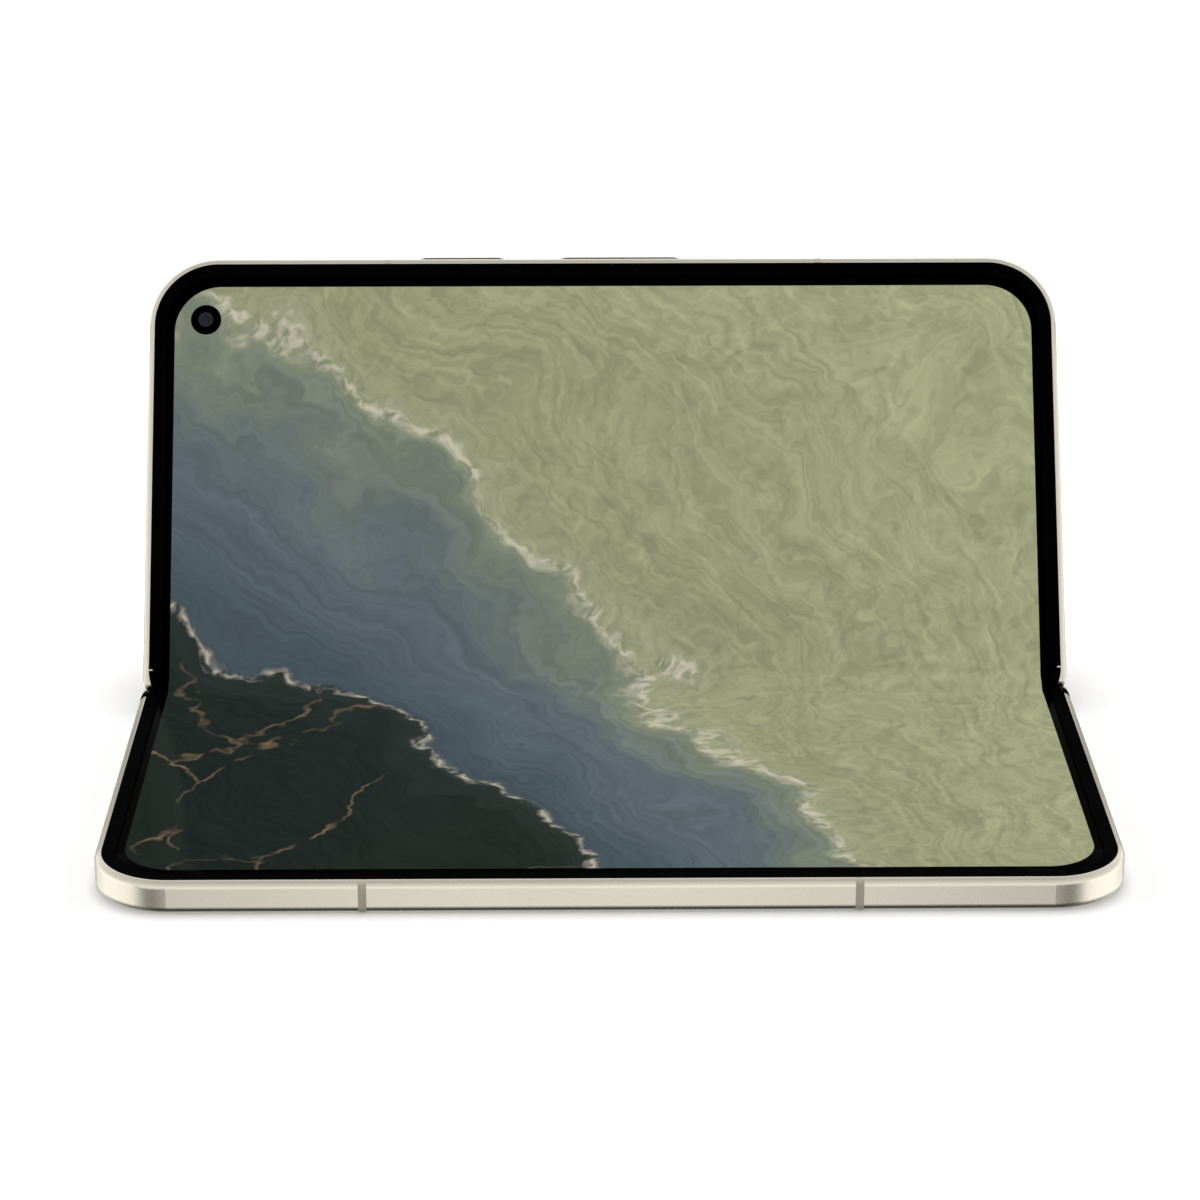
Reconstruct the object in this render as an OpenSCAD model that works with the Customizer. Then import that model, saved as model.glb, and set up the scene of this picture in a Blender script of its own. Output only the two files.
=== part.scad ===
// Book-style foldable phone, standing half open on its cover-display half.
// X runs along the hinge, the front edge faces -Y and Z is up.
// The origin is the centre of the underside of the lower half.
// Each half is drawn flat in its own frame: x along the hinge, v outward from the
// fold plane, z up from the back face. base_place and lid_place then set it in place.

/* [Body] */
// Length of the phone along the hinge
phone_w = 155.2; // [150:0.1:162]
// Depth of one half, from the fold plane to its outer edge
half_d = 75.1; // [72:0.1:80]
// Thickness of one half
half_t = 5.1; // [5.1:0.05:5.6]
// Plan radius of the outer corners
corner_r = 11.8; // [9:0.1:14]
// Angle between the two halves
fold_angle = 121; // [110:1:150]

/* [Frame] */
// Thickness of the frame wall
wall_t = 2.4; // [2.2:0.05:2.6]
// Rounding of the edge beside the inner display
top_edge_r = 1.1; // [0.6:0.05:1.15]
// Rounding of the edge beside the outer glass
bottom_edge_r = 1.1; // [0.5:0.05:1.15]
// Width of the metal land outside the glass and the bezel
land_w = 1.2; // [1.2:0.05:1.4]
// Thickness of the deck that carries the inner display
deck_t = 0.5; // [0.45:0.05:0.6]
// Width of an antenna break
break_w = 1.25; // [0.8:0.05:1.8]
// Distance of the antenna breaks from the middle of the edge
break_x = 36.8; // [34:0.1:44]

/* [Hinge] */
// Distance of each hinge axis from the fold plane
axis_off = 2.2; // [2.15:0.05:2.25]
// Gap between the rims when closed
rim_gap = 0.3; // [0.25:0.05:0.4]
// Gap between the two back lips when open flat
lip_gap = 0.2; // [0.2:0.05:0.3]
// Thickness of the back lip under the spine
lip_t = 0.6; // [0.5:0.05:0.65]
// Outer radius of the spine cover
spine_r = 2.25; // [2.15:0.05:2.3]
// Wall of the spine cover
spine_wall = 0.35; // [0.3:0.05:0.4]
// How far the side walls draw in at the hinge
curl_inset = 1.0; // [0.6:0.1:1.2]
// Length over which they draw in
curl_len = 3.2; // [2.6:0.1:3.6]
// Distance of the hinge modules from the middle
module_x = 48; // [40:0.5:52]
// Teeth on each hinge gear
gear_teeth = 10; // [10:2:10]
// Face width of the hinge gears
gear_w = 2.4; // [1.8:0.1:3]
// Radius of the hinge shafts
shaft_r = 0.34; // [0.3:0.01:0.36]
// Radial running clearance on the shafts
run_gap = 0.03; // [0.02:0.01:0.05]

/* [Inner display] */
// Thickness of the folding display
panel_t = 0.5; // [0.4:0.05:0.5]
// Depth of the display surface below the bezel
panel_drop = 0.25; // [0.2:0.01:0.3]
// Width of the raised bezel seen from above
bezel_w = 2.0; // [1.8:0.1:2.4]
// Distance of the inner camera from the side edge
inner_cam_side = 9.7; // [9:0.1:14]
// Distance of the inner camera from the outer edge
inner_cam_edge = 10.5; // [10:0.1:14]
// Radius of the inner camera's hole in the display
inner_cam_r = 2.3; // [2:0.1:2.6]

/* [Outer glass and camera island] */
// Thickness of the cover glass and the rear glass
glass_t = 0.6; // [0.5:0.05:0.6]
// Length of the camera island
island_l = 62; // [58:0.5:70]
// Width of the camera island
island_w = 22; // [21:0.5:24]
// Height of the camera island above the rear glass
island_h = 2.6; // [2.2:0.1:3]
// Distance of the island from the side edge
island_side = 9; // [7:0.5:14]
// Distance of the island from the outer edge
island_edge = 8.5; // [7:0.5:12]
// Distance between the lenses
lens_pitch = 17; // [16.5:0.1:18]

/* [Buttons and ports] */
// Length of the power button
power_l = 13.7; // [10:0.1:15]
// Position of the power button along the edge
power_x = -24.2; // [-30:0.1:-21]
// Length of the volume rocker
volume_l = 19.7; // [16:0.1:22]
// Position of the volume rocker along the edge
volume_x = 2.9; // [0:0.1:8]
// Height of both keys across the edge
key_h = 1.9; // [1.6:0.1:2.1]
// How far the keys stand out of the edge
key_out = 0.5; // [0.3:0.05:0.7]
// Width of the charging socket's mouth
socket_w = 8.34; // [8.3:0.01:8.4]
// Height of the charging socket's mouth
socket_h = 2.56; // [2.5:0.01:2.6]
// Distance of the charging socket's middle from the outer edge
socket_edge = 37.6; // [35.1:0.5:41.1]
// Length of the card tray's door
tray_l = 16; // [15:0.5:18]
// Distance of the card tray from the front edge
tray_edge = 19.1; // [19.1:0.5:25]

/* [Hidden] */

half_turn = (180 - fold_angle) / 2;
half_w = phone_w / 2;
axis_z = half_t - axis_off + rim_gap / 2;
lip_v = lip_gap / 2;
end_r = axis_off - lip_v;
cavity_r = axis_z - lip_t;
fit_gap = 0.05;
bond_t = 0.05;
deck_top = half_t - panel_drop - panel_t - fit_gap;
deck_z = deck_top - deck_t;
floor_z = glass_t + bond_t;
panel_z = deck_top + fit_gap;
panel_top = panel_z + panel_t;
inner_r = corner_r - wall_t;
key_mid = half_t / 2;
deck_v = 6;
deck_root = 0.2;

// Hinge end of the side walls
curl_r = (curl_len * curl_len + curl_inset * curl_inset) / (2 * curl_inset);
curl_wall = 1.0;
pocket_r = 10.7;
tick_v = 4.4;
tick_w = 0.4;
tick_drop = 0.15;
tick_reach = 1.5;
seal_drop = 0.4;
wall_v = tick_v + tick_w;
strip_inset = 2.6;
housing_v = 5.6;
housing_inset = 0.4;
glass_v = 4.7;
seat_v = glass_v - fit_gap;
glass_hinge_r = 2.5;
cover_t = 0.6;
cover_top = floor_z + cover_t;
cover_inset = 0.3;
break_root = 0.3;

// Fold of the display at the standing angle: the strip's middle keeps its flat height
panel_rise = panel_top - axis_z;
kink_h = (panel_rise - axis_off * sin(half_turn)) / cos(half_turn);
fold_tangent = (panel_rise - kink_h) / tan(half_turn / 2);
fold_r = fold_tangent / tan(half_turn);
kink_v = axis_off - (axis_off - panel_rise * sin(half_turn)) / cos(half_turn);
fold_v = kink_v + fold_tangent;

// Hinge gears, four in line between the two axes
pitch_r = axis_off / 3;
gear_module = 2 * pitch_r / gear_teeth;
pressure = 28;
backlash = 0.05;
addendum = 0.95;
dedendum = 1.15;
arm_drop = 0.35;
arm_z = axis_z - arm_drop;
arm_t = 1.1;
pocket_z = arm_z - 0.1;
arm_w = 9;
arm_end = 15;
knuckle_w = 3;
knuckle_r = 1.0;
plate_w = 0.8;
bracket_r = spine_r - spine_wall - fit_gap;
bracket_top = 0.85;
screw_r = 0.6;
screw_v = [9, 13];
head_r = 1.1;
head_t = 0.5;
hex_r = 0.45;
foot_x = 10;
foot_t = 0.4;
foot_r = 0.5;
spine_l = 2 * (half_w - strip_inset);
cap_w = 1.0;
cap_top = 0.3;
spine_top = -0.5;
support_v = 3.5;
support_end = 13;
support_t = 0.3;
slot_pitch = 4;
slot_l = 2.8;
slot_w = 0.4;
slot_rows = [1.2, 2];
slot_n = floor((half_w - strip_inset) / slot_pitch) - 1;

// Gears, plates and shafts of one hinge module, along the hinge from its middle
side_gap = 0.1;
washer_room = 4.1;
gear_end = knuckle_w / 2 + gear_w + side_gap;
washer_x = -knuckle_w / 2 - side_gap - plate_w - washer_room;
plates_x = [washer_x, -knuckle_w / 2 - side_gap - plate_w, gear_end];
shaft_x = [washer_x, gear_end + plate_w];
idler_y = axis_off - 2 * pitch_r;
washer_r = 1.3;
washer_t = 0.25;
washer_h = 0.7;
washer_pitch = 0.75;

// Boards, batteries and magnets: the bays keep to the walls, the hinge end and the island
pad_t = 0.1;
board_t = 0.8;
shield_wall = 0.2;
shield_inset = 2;
stack_h = deck_z - cover_top - pad_t - fit_gap;
bay_v = arm_end + 5;
bay_edge = 11.1;
bay_end = half_d - bay_edge;
terrace_inset = 2;
terrace_w = 1.5;
terrace_t = 1.6;
board_side = 5.6;
base_bay_side = 35.6;
base_bay_x = half_w - base_bay_side;
base_board_x = base_bay_x + 4;
base_board_v = arm_end + 7;
base_board_bare = 9;
base_board_l = half_w - board_side - base_board_x;
lid_board_x = board_side - half_w;
lid_board_v = arm_end + 3;
lid_board_gap = 4;
lid_board_l = -lid_board_gap - lid_board_x;
lid_bay_side = 13.6;
lid_bay_end = half_w - lid_bay_side;
magnet_l = 14;
magnet_w = 2.6;
magnet_side = 16;
magnet_x = half_w - magnet_side;
magnet_edge = 6.3;
motor_l = 9;
motor_w = 15;
motor_side = 19.6;
motor_x = motor_side - half_w;
motor_edge = 8.1;
motor_v = half_d - motor_edge - motor_w;
coil_rim = 0.5;
coil_r = (bay_end - bay_v) / 2 - coil_rim;
coil_wire = 1.6;
coil_pitch = 2.2;
coil_t = 0.25;
ferrite_t = 0.2;

// Speakers, their hole rows and the small cameras
speaker_w = 11;
speaker_l = 18;
speaker_v = (half_d - speaker_l - 3) / 2;
lid_speaker_edge = 30.1;
lid_speaker_v = half_d - lid_speaker_edge;
mouth_l = 14;
mouth_h = 1.6;
hole_r = 0.55;
hole_pitch = 2.4;
hole_n = 6;
mic_r = 0.4;
cover_cam_side = 8;
cover_cam_x = cover_cam_side - half_w;
cover_cam_r = 1.5;
small_cam_w = 5.2;
earpiece_l = 6;
earpiece_w = 12;
earpiece_t = 1.6;
earpiece_side = 5;
earpiece_edge = 24.5;

// Card tray and its reader
tray_v = half_d - tray_edge;
door_t = 1.1;
pin_v = 5.5;
pin_r = 0.4;
tray_reach = 15.5;
tray_w = 10.4;
tray_t = 0.9;
tray_lip = 1;
tray_low = 6.4;
reader_l = 14;
reader_w = 12.4;
reader_t = 2;
reader_wall = 0.9;
reader_gap = 3.6;
base_board_w = tray_v - tray_low - reader_gap - base_board_v;

// Camera island, lenses and rear cameras
island_x = -half_w + island_side + island_l / 2;
island_v = half_d - island_edge - island_w / 2;
island_wall = 1.6;
island_floor = 0.6;
island_r = 0.9;
lens_x = [for (i = [0 : 2]) island_x - (island_l - island_w) / 2 + i * lens_pitch];
flash_end = 6.5;
flash_x = island_x + island_l / 2 - flash_end;
flash_r = 2;
flash_t = 1.4;
window_t = 0.45;
lens_bore_r = 4.9;
ring_r = 7;
ring_w = 1.6;
ring_h = 0.4;
nose_l = 3.6;
nose_step = 0.4;
cam_w = 11.5;
cam_z = 1.5;
lid_board_w = island_v - island_w / 2 - island_wall - lid_board_v;
inner_cam_x = -half_w + inner_cam_side;
inner_cam_v = half_d - inner_cam_edge;
inner_cam_w = 5.6;

// Keys, their switches and the charging socket
flange_t = 0.5;
flange_w = 0.8;
flange_d = 1.6;
flange_rise = 1;
pip_r = 0.6;
pip_h = 0.55;
rocker_pips = 6.5;
fulcrum_r = 0.45;
key_board_back = 3.5;
key_board_t = 0.3;
key_board_z = 1.5;
key_board_h = 2.1;
dome_r = 1;
dome_h = 0.14;
socket_l = 7.2;
socket_wall = 0.3;
socket_v = half_d - socket_edge;
socket_low = 0.2;
socket_z = key_mid - socket_low;
tongue_w = 6.6;
tongue_t = 0.7;
tongue_back = 2;

function involute(r, t) = [r * (cos(t) + t * PI / 180 * sin(t)), r * (sin(t) - t * PI / 180 * cos(t))];
function turned(p, a) = [p[0] * cos(a) - p[1] * sin(a), p[0] * sin(a) + p[1] * cos(a)];
function involute_angle(p) = tan(p) * 180 / PI - p;

module base_place() {
  translate([0, half_d / 2, 0]) mirror([0, 1, 0]) children();
}

module spine_place() {
  translate([0, half_d / 2 - axis_off, axis_z]) rotate([half_turn, 0, 0])
    translate([0, axis_off, -axis_z]) children();
}

module lid_place() {
  spine_place() translate([0, axis_off, axis_z]) rotate([half_turn, 0, 0])
    translate([0, -axis_off, -axis_z]) children();
}

module both_ends() {
  children();
  mirror([1, 0, 0]) children();
}

// A long slot or bar shape, drawn about its centre
module stadium(len, w) {
  square([len - w, w], center = true);
  for (s = [-1, 1]) translate([s * (len - w) / 2, 0]) circle(d = w, $fn = 48);
}

// Rounded rectangle from v0 to the outer edge, all corners true arcs
module plate_2d(inset, v0, outer_r, hinge_r) {
  x1 = half_w - inset;
  v1 = half_d - inset;
  difference() {
    translate([-x1, v0]) square([2 * x1, v1 - v0]);
    for (s = [-1, 1]) {
      translate([s * x1, v1]) corner_bite(outer_r, -s, -1);
      translate([s * x1, v0]) corner_bite(hinge_r, -s, 1);
    }
  }
}

// What a corner of radius r loses; sx and sy point into the plate
module corner_bite(r, sx, sy) {
  mirror([sx < 0 ? 1 : 0, 0]) mirror([0, sy < 0 ? 1 : 0]) difference() {
    translate([-1, -1]) square(r + 1);
    translate([r, r]) circle(r = r, $fn = 96);
  }
}

// A piece across the edge of the half: x runs inward from the outer face, y is height
module along_front(x0, len) {
  translate([x0, half_d, 0]) rotate([90, 0, 90]) linear_extrude(len) mirror([1, 0]) children();
}

module along_side(v0, v1) {
  translate([half_w, v1, 0]) rotate([90, 0, 0]) linear_extrude(v1 - v0) mirror([1, 0]) children();
}

// Runs a section round the outer edge and both sides, down to v0
module along_rim(v0) {
  along_front(-half_w + corner_r, 2 * (half_w - corner_r)) children();
  both_ends() {
    translate([half_w - corner_r, half_d - corner_r, 0])
      rotate_extrude(angle = 90, $fn = 128) translate([corner_r, 0]) mirror([1, 0]) children();
    along_side(v0, half_d - corner_r) children();
  }
}

// ---- Frame ----

module edge_bites() {
  corner_bite(bottom_edge_r, 1, 1);
  translate([0, half_t]) corner_bite(top_edge_r, 1, -1);
}

module wall_section() {
  difference() {
    square([wall_t, half_t]);
    edge_bites();
    translate([land_w, -1]) square([wall_t, floor_z + 1]);
    translate([land_w, deck_top]) square([wall_t, half_t]);
  }
}

module end_section() {
  difference() {
    square([wall_t, half_t]);
    edge_bites();
  }
}

// Pocket between a side wall and the display's edge, +x side, seen from above
module pocket_2d(gap, reach, v1) {
  intersection() {
    translate([half_w - reach, -1]) square([reach - curl_wall, tick_v - gap + 1]);
    translate([half_w - curl_wall - pocket_r, tick_v]) circle(r = pocket_r - gap, $fn = 128);
  }
  translate([half_w - reach, curl_len]) square([reach - tick_reach - gap, v1 - curl_len]);
}

// Side walls beside the hinge: thick below, thinned by a pocket above, drawn in at the end
module hinge_walls() {
  both_ends() difference() {
    along_side(lip_v, seat_v) end_section();
    translate([0, 0, pocket_z]) linear_extrude(half_t) pocket_2d(0, wall_t + 0.5, seat_v + 0.1);
    translate([half_w - wall_t, tick_v - 0.1, half_t - tick_drop])
      cube([wall_t - curl_wall, tick_w + 1, half_t]);
    translate([half_w - 2 * curl_inset, -1, -1]) linear_extrude(half_t + 2) difference() {
      square([3 * curl_inset, curl_len + 1]);
      translate([2 * curl_inset - curl_r + 0.02, curl_len + 1]) circle(r = curl_r, $fn = 128);
    }
  }
  both_ends() translate([half_w - tick_reach, seat_v - 0.1, pocket_z])
    cube([tick_reach - curl_wall, wall_v - seat_v + 0.1, half_t - tick_drop - pocket_z]);
}

// Soft black seals that fill the pockets
module hinge_seals() {
  difference() {
    both_ends() translate([0, 0, pocket_z + fit_gap]) linear_extrude(half_t - seal_drop - pocket_z - fit_gap)
      pocket_2d(fit_gap, wall_t + 0.05, seat_v - fit_gap);
    hinge_end_cut();
  }
}

// Back lip and the hollow that the spine turns into, in v and z
module housing_section() {
  difference() {
    translate([lip_v, 0]) square([housing_v - lip_v, pocket_z]);
    translate([axis_off, axis_z]) circle(r = cavity_r, $fn = 96);
    translate([-1, lip_t]) square([axis_off + 1, half_t]);
    translate([glass_v - fit_gap, -1]) square([housing_v, floor_z + 1]);
  }
}

module hinge_housing() {
  reach = half_w - curl_wall - housing_inset;
  translate([-reach, 0, 0]) rotate([90, 0, 90]) linear_extrude(2 * reach) housing_section();
}

module deck() {
  step = support_end + fit_gap;
  difference() {
    translate([0, 0, deck_z]) linear_extrude(deck_t)
      plate_2d(wall_t - deck_root, deck_v, inner_r + deck_root, 0.1);
    translate([-half_w, 0, deck_top - support_t]) cube([phone_w, step, half_t]);
    for (s = [-1, 1], v = screw_v) translate([s * module_x, v, deck_z - 1])
      cylinder(r = screw_r, h = deck_t + 2, $fn = 32);
  }
}

// Everything past the hinge end: a quarter round about the axis above, a square lip below
module hinge_end_cut() {
  translate([-half_w - 1, -10, -1]) cube([phone_w + 2, 10 + lip_v, half_t + 2]);
  difference() {
    translate([-half_w - 1, -10, axis_z]) cube([phone_w + 2, 10 + axis_off, half_t]);
    translate([-half_w - 2, axis_off, axis_z]) rotate([0, 90, 0])
      cylinder(r = end_r, h = phone_w + 4, $fn = 128);
  }
}

module half_frame() {
  difference() {
    union() {
      along_rim(seat_v) wall_section();
      hinge_walls();
      hinge_housing();
      deck();
    }
    hinge_end_cut();
    for (s = [-1, 1]) translate([s * break_x - break_w / 2, half_d - wall_t + break_root, -1])
      cube([break_w, wall_t, half_t + 2]);
  }
}

module antenna_breaks() {
  for (s = [-1, 1]) along_front(s * break_x - break_w / 2, break_w) intersection() {
    wall_section();
    square([wall_t - break_root, half_t]);
  }
}

// Round hole through a side wall; s picks the side
module side_hole(s, v, r) {
  translate([s * half_w, v, key_mid]) rotate([0, 90, 0])
    cylinder(r = r, h = 3 * wall_t, center = true, $fn = 32);
}

// Row of sound holes in front of a speaker that starts at v
module speaker_holes(s, v) {
  for (i = [0 : hole_n - 1]) side_hole(s, v + 3 + i * hole_pitch, hole_r);
}

// Flat speaker box with the mouth behind its holes; x grows inward from the wall
module speaker_box(v, wide) {
  difference() {
    translate([half_w - wall_t - pad_t - speaker_w, v, cover_top + pad_t]) cube([speaker_w, wide, stack_h]);
    translate([half_w - wall_t - 1.5, v + 2, key_mid - mouth_h / 2]) cube([3, mouth_l, mouth_h]);
  }
}

// ---- Parts that both halves have ----

module outer_glass_2d() {
  plate_2d(land_w + fit_gap, glass_v, corner_r - land_w - fit_gap, glass_hinge_r);
}

// Pouch cell between x0 and x1, stepped down at the hinge side for its safety board
module battery(x0, x1) {
  translate([x0, bay_v, cover_top + fit_gap]) difference() {
    cube([x1 - x0, bay_end - bay_v, deck_z - cover_top - 2 * fit_gap]);
    translate([terrace_inset, -1, terrace_t])
      cube([x1 - x0 - 2 * terrace_inset, terrace_w + 1, half_t]);
  }
}

// Pressed shield can, open below
module shield(len, wide) {
  difference() {
    cube([len, wide, deck_z - cover_top - board_t - 2 * pad_t]);
    translate([shield_wall, shield_wall, -shield_wall])
      cube([len - 2 * shield_wall, wide - 2 * shield_wall, deck_z - cover_top - board_t - 2 * pad_t]);
  }
}

module magnets() {
  for (s = [-1, 1]) translate([s * magnet_x - magnet_l / 2, half_d - magnet_edge, cover_top + 2 * pad_t])
    cube([magnet_l, magnet_w, stack_h - pad_t]);
}

module bezel_section() {
  out = land_w + fit_gap;
  difference() {
    translate([out, deck_top]) square([bezel_w, half_t - deck_top]);
    translate([strip_inset - fit_gap, -1]) square([bezel_w, panel_top + fit_gap + 1]);
    translate([out + bezel_w, half_t]) corner_bite(0.2, -1, -1);
  }
}

module bezel() {
  along_rim(wall_v + fit_gap) bezel_section();
}

module display_panel() {
  translate([0, 0, panel_z]) linear_extrude(panel_t)
    plate_2d(strip_inset, fold_v + fit_gap, corner_r - strip_inset, 0.05);
}

module support_plate() {
  difference() {
    translate([-half_w + strip_inset, support_v, deck_top - support_t + 0.01])
      cube([phone_w - 2 * strip_inset, support_end - support_v, support_t - 0.01]);
    // Rows of relief slots that let the plate flex beside the fold
    for (row = [0, 1], i = [-slot_n : slot_n - row])
      translate([(i + row / 2) * slot_pitch, support_v + slot_rows[row], deck_top - support_t / 2])
        linear_extrude(support_t, center = true) stadium(slot_l, slot_w);
  }
}

// ---- Hinge gears and arms ----

// Involute gear outline centred on its axis; a tooth points along its x axis plus phase
module gear_2d(phase) {
  tip_r = pitch_r + gear_module * addendum;
  root_r = pitch_r - gear_module * dedendum;
  base_r = pitch_r * cos(pressure);
  half_tooth = 90 / gear_teeth - backlash / pitch_r * 45 / PI;
  roll_tip = sqrt(tip_r * tip_r / (base_r * base_r) - 1) * 180 / PI;
  flank_turn = half_tooth + involute_angle(pressure);
  flank = [for (k = [0 : 4]) turned(involute(base_r, roll_tip * k / 4), -flank_turn)];
  tooth = concat([[root_r * cos(flank_turn), -root_r * sin(flank_turn)]], flank,
    [for (k = [4 : -1 : 0]) [flank[k][0], -flank[k][1]]],
    [[root_r * cos(flank_turn), root_r * sin(flank_turn)]]);
  polygon([for (i = [0 : gear_teeth - 1], p = tooth) turned(p, phase + i * 360 / gear_teeth)]);
}

// Arm about its axis at v = axis_off; the gear sits on the side of the knuckle away from the middle
module hinge_arm(phase) {
  bore_r = shaft_r + run_gap;
  translate([0, axis_off, axis_z]) difference() {
    union() {
      translate([-knuckle_w / 2, 0, 0]) rotate([0, 90, 0]) cylinder(r = knuckle_r, h = knuckle_w, $fn = 64);
      translate([-knuckle_w / 2, 0, -arm_drop]) cube([knuckle_w, knuckle_r + 2, arm_t]);
      translate([-arm_w / 2, knuckle_r + 1, -arm_drop])
        cube([arm_w, arm_end - axis_off - knuckle_r - 1, arm_t]);
      translate([knuckle_w / 2 - 0.1, 0, 0]) rotate([90, 0, 90]) linear_extrude(gear_w + 0.1) gear_2d(phase);
    }
    translate([-2 * knuckle_w, 0, 0]) rotate([0, 90, 0]) cylinder(r = bore_r, h = 6 * knuckle_w, $fn = 48);
    for (v = screw_v) translate([0, v - axis_off, -arm_t])
      cylinder(r = screw_r + fit_gap, h = 3 * arm_t, $fn = 32);
  }
}

module hinge_arms(phase) {
  for (s = [-1, 1]) translate([s * module_x, 0, 0]) mirror([s < 0 ? 1 : 0, 0, 0]) hinge_arm(phase);
}

module arm_screws() {
  for (s = [-1, 1], v = screw_v) translate([s * module_x, v, arm_z]) difference() {
    union() {
      translate([0, 0, -head_t]) cylinder(r = head_r, h = head_t - 0.01, $fn = 48);
      translate([0, 0, -head_t / 2])
        cylinder(r = screw_r - 0.02, h = deck_top - support_t - arm_z + head_t / 2, $fn = 32);
    }
    translate([0, 0, -2 * head_t]) cylinder(r = hex_r, h = 1.6 * head_t, $fn = 6);
  }
}

// ---- Lower half ----

module base_frame() color("#cfc6b2") base_place() difference() {
  half_frame();
  // Door and slot of the card tray, in the +x side
  translate([half_w + 1, tray_v, key_mid]) rotate([90, 0, -90]) linear_extrude(wall_t + 2)
    stadium(tray_l + 2 * fit_gap, key_h + 2 * fit_gap);
  speaker_holes(-1, speaker_v);
  side_hole(1, arm_end + 3, mic_r);
}

module base_antenna_breaks() color("#bab39f") base_place() antenna_breaks();

module cover_glass() color("#101214") base_place() difference() {
  linear_extrude(glass_t) outer_glass_2d();
  translate([cover_cam_x, half_d / 2, -1]) cylinder(r = cover_cam_r + pad_t, h = 3, $fn = 48);
}

module cover_display() color("#1c2224") base_place() difference() {
  translate([0, 0, floor_z]) linear_extrude(cover_t)
    plate_2d(wall_t + cover_inset, deck_v + 0.2, inner_r - cover_inset, 1.5);
  translate([cover_cam_x, half_d / 2, -1]) cylinder(r = 1.6 * cover_cam_r, h = 3, $fn = 48);
}

// Camera behind the cover glass: a short barrel on its square housing
module cover_camera() color("#141518") base_place() translate([cover_cam_x, half_d / 2, 0]) {
  translate([0, 0, 0.02]) cylinder(r = cover_cam_r, h = cover_top + 2 * fit_gap, $fn = 48);
  translate([-small_cam_w / 2, -small_cam_w / 2, cover_top + fit_gap])
    cube([small_cam_w, small_cam_w, deck_z - cover_top - 2 * fit_gap]);
}

module base_battery() color("#2b2d30") base_place() battery(-base_bay_x, base_bay_x);

module base_board() color("#2f5a40") base_place()
  translate([base_board_x, base_board_v, cover_top + pad_t]) difference() {
    cube([base_board_l, base_board_w, board_t]);
    translate([base_board_l - 4, 3, -1]) cylinder(r = 0.9, h = 5, $fn = 32);
  }

module base_board_shield() color("#b8babd") base_place()
  translate([base_board_x + shield_inset, base_board_v + shield_inset, cover_top + pad_t + board_t])
    shield(base_board_l - base_board_bare, base_board_w - 2 * shield_inset);

module vibration_motor() color("#9a9da1") base_place() translate([motor_x, motor_v, cover_top + pad_t])
  cube([motor_l, motor_w, stack_h]);

module base_speaker() color("#26282b") base_place() difference() {
  mirror([1, 0, 0]) speaker_box(speaker_v, speaker_l);
  translate([cover_cam_x - small_cam_w / 2 - 2 * pad_t, half_d / 2 - small_cam_w / 2 - 2 * pad_t, 0])
    cube([small_cam_w + 4 * pad_t, small_cam_w + 4 * pad_t, half_t]);
}

module earpiece() color("#3a3c40") base_place()
  translate([earpiece_side - half_w, half_d - earpiece_edge, cover_top + pad_t])
    cube([earpiece_l, earpiece_w, earpiece_t]);

// Card tray: door, two rails and a floor with one card recess; it draws out through the +x side
module card_tray() color("#cfc6b2") base_place() translate([half_w, tray_v, key_mid]) {
  difference() {
    translate([-door_t, 0, 0]) rotate([90, 0, 90]) linear_extrude(door_t) stadium(tray_l, key_h);
    translate([-2 * door_t, pin_v, 0]) rotate([0, 90, 0]) cylinder(r = pin_r, h = 4, $fn = 24);
  }
  translate([-tray_reach, -tray_low, -tray_t / 2]) difference() {
    cube([tray_reach - 1, tray_w, tray_t]);
    translate([tray_lip, tray_lip, 0.2])
      cube([tray_reach - 1 - 2.2 * tray_lip, tray_w - 2 * tray_lip, tray_t]);
  }
}

// Steel cage around the tray, open toward the door
module card_reader() color("#c4c6c8") base_place()
  translate([half_w - reader_l - 3, tray_v - tray_low - 1, key_mid - reader_t / 2]) difference() {
    cube([reader_l, reader_w, reader_t]);
    translate([1, reader_wall, reader_t / 2 - tray_t / 2 - 0.1])
      cube([reader_l + 2, reader_w - 2 * reader_wall, tray_t + 0.2]);
  }

module base_magnets() color("#7d7f83") base_place() magnets();
module base_hinge_arms() color("#8f9296") base_place() hinge_arms(180);
module base_arm_screws() color("#6c6e72") base_place() arm_screws();
module base_support_plate() color("#a9abae") base_place() support_plate();
module base_display_panel() color("#3c464a") base_place() display_panel();
module base_bezel() color("#0b0b0c") base_place() bezel();
module base_hinge_seals() color("#0d0d0e") base_place() hinge_seals();

// ---- Hinge spine ----

// Runs a section in y and z, heights taken from the axis level, along the hinge
module along_hinge(x0, x1) {
  translate([x0, 0, axis_z]) rotate([90, 0, 90]) linear_extrude(x1 - x0) children();
}

module at_modules() {
  for (s = [-1, 1]) translate([s * module_x, 0, 0]) mirror([s < 0 ? 1 : 0, 0, 0]) children();
}

module spine_outline(r) {
  intersection() {
    stadium(2 * (axis_off + r), 2 * r);
    translate([-10, -10]) square([20, 10 + spine_top]);
  }
}

module hinge_spine() color("#a9a28f") spine_place() along_hinge(-spine_l / 2, spine_l / 2) difference() {
  spine_outline(spine_r);
  stadium(2 * (axis_off + spine_r - spine_wall), 2 * (spine_r - spine_wall));
}

module spine_end_caps() color("#1b1b1c") spine_place()
  both_ends() along_hinge(spine_l / 2 - cap_w, spine_l / 2 - 0.02)
    intersection() {
      stadium(2 * (axis_off + bracket_r), 2 * bracket_r);
      translate([-10, -10]) square([20, 10 + cap_top]);
    }

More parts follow.
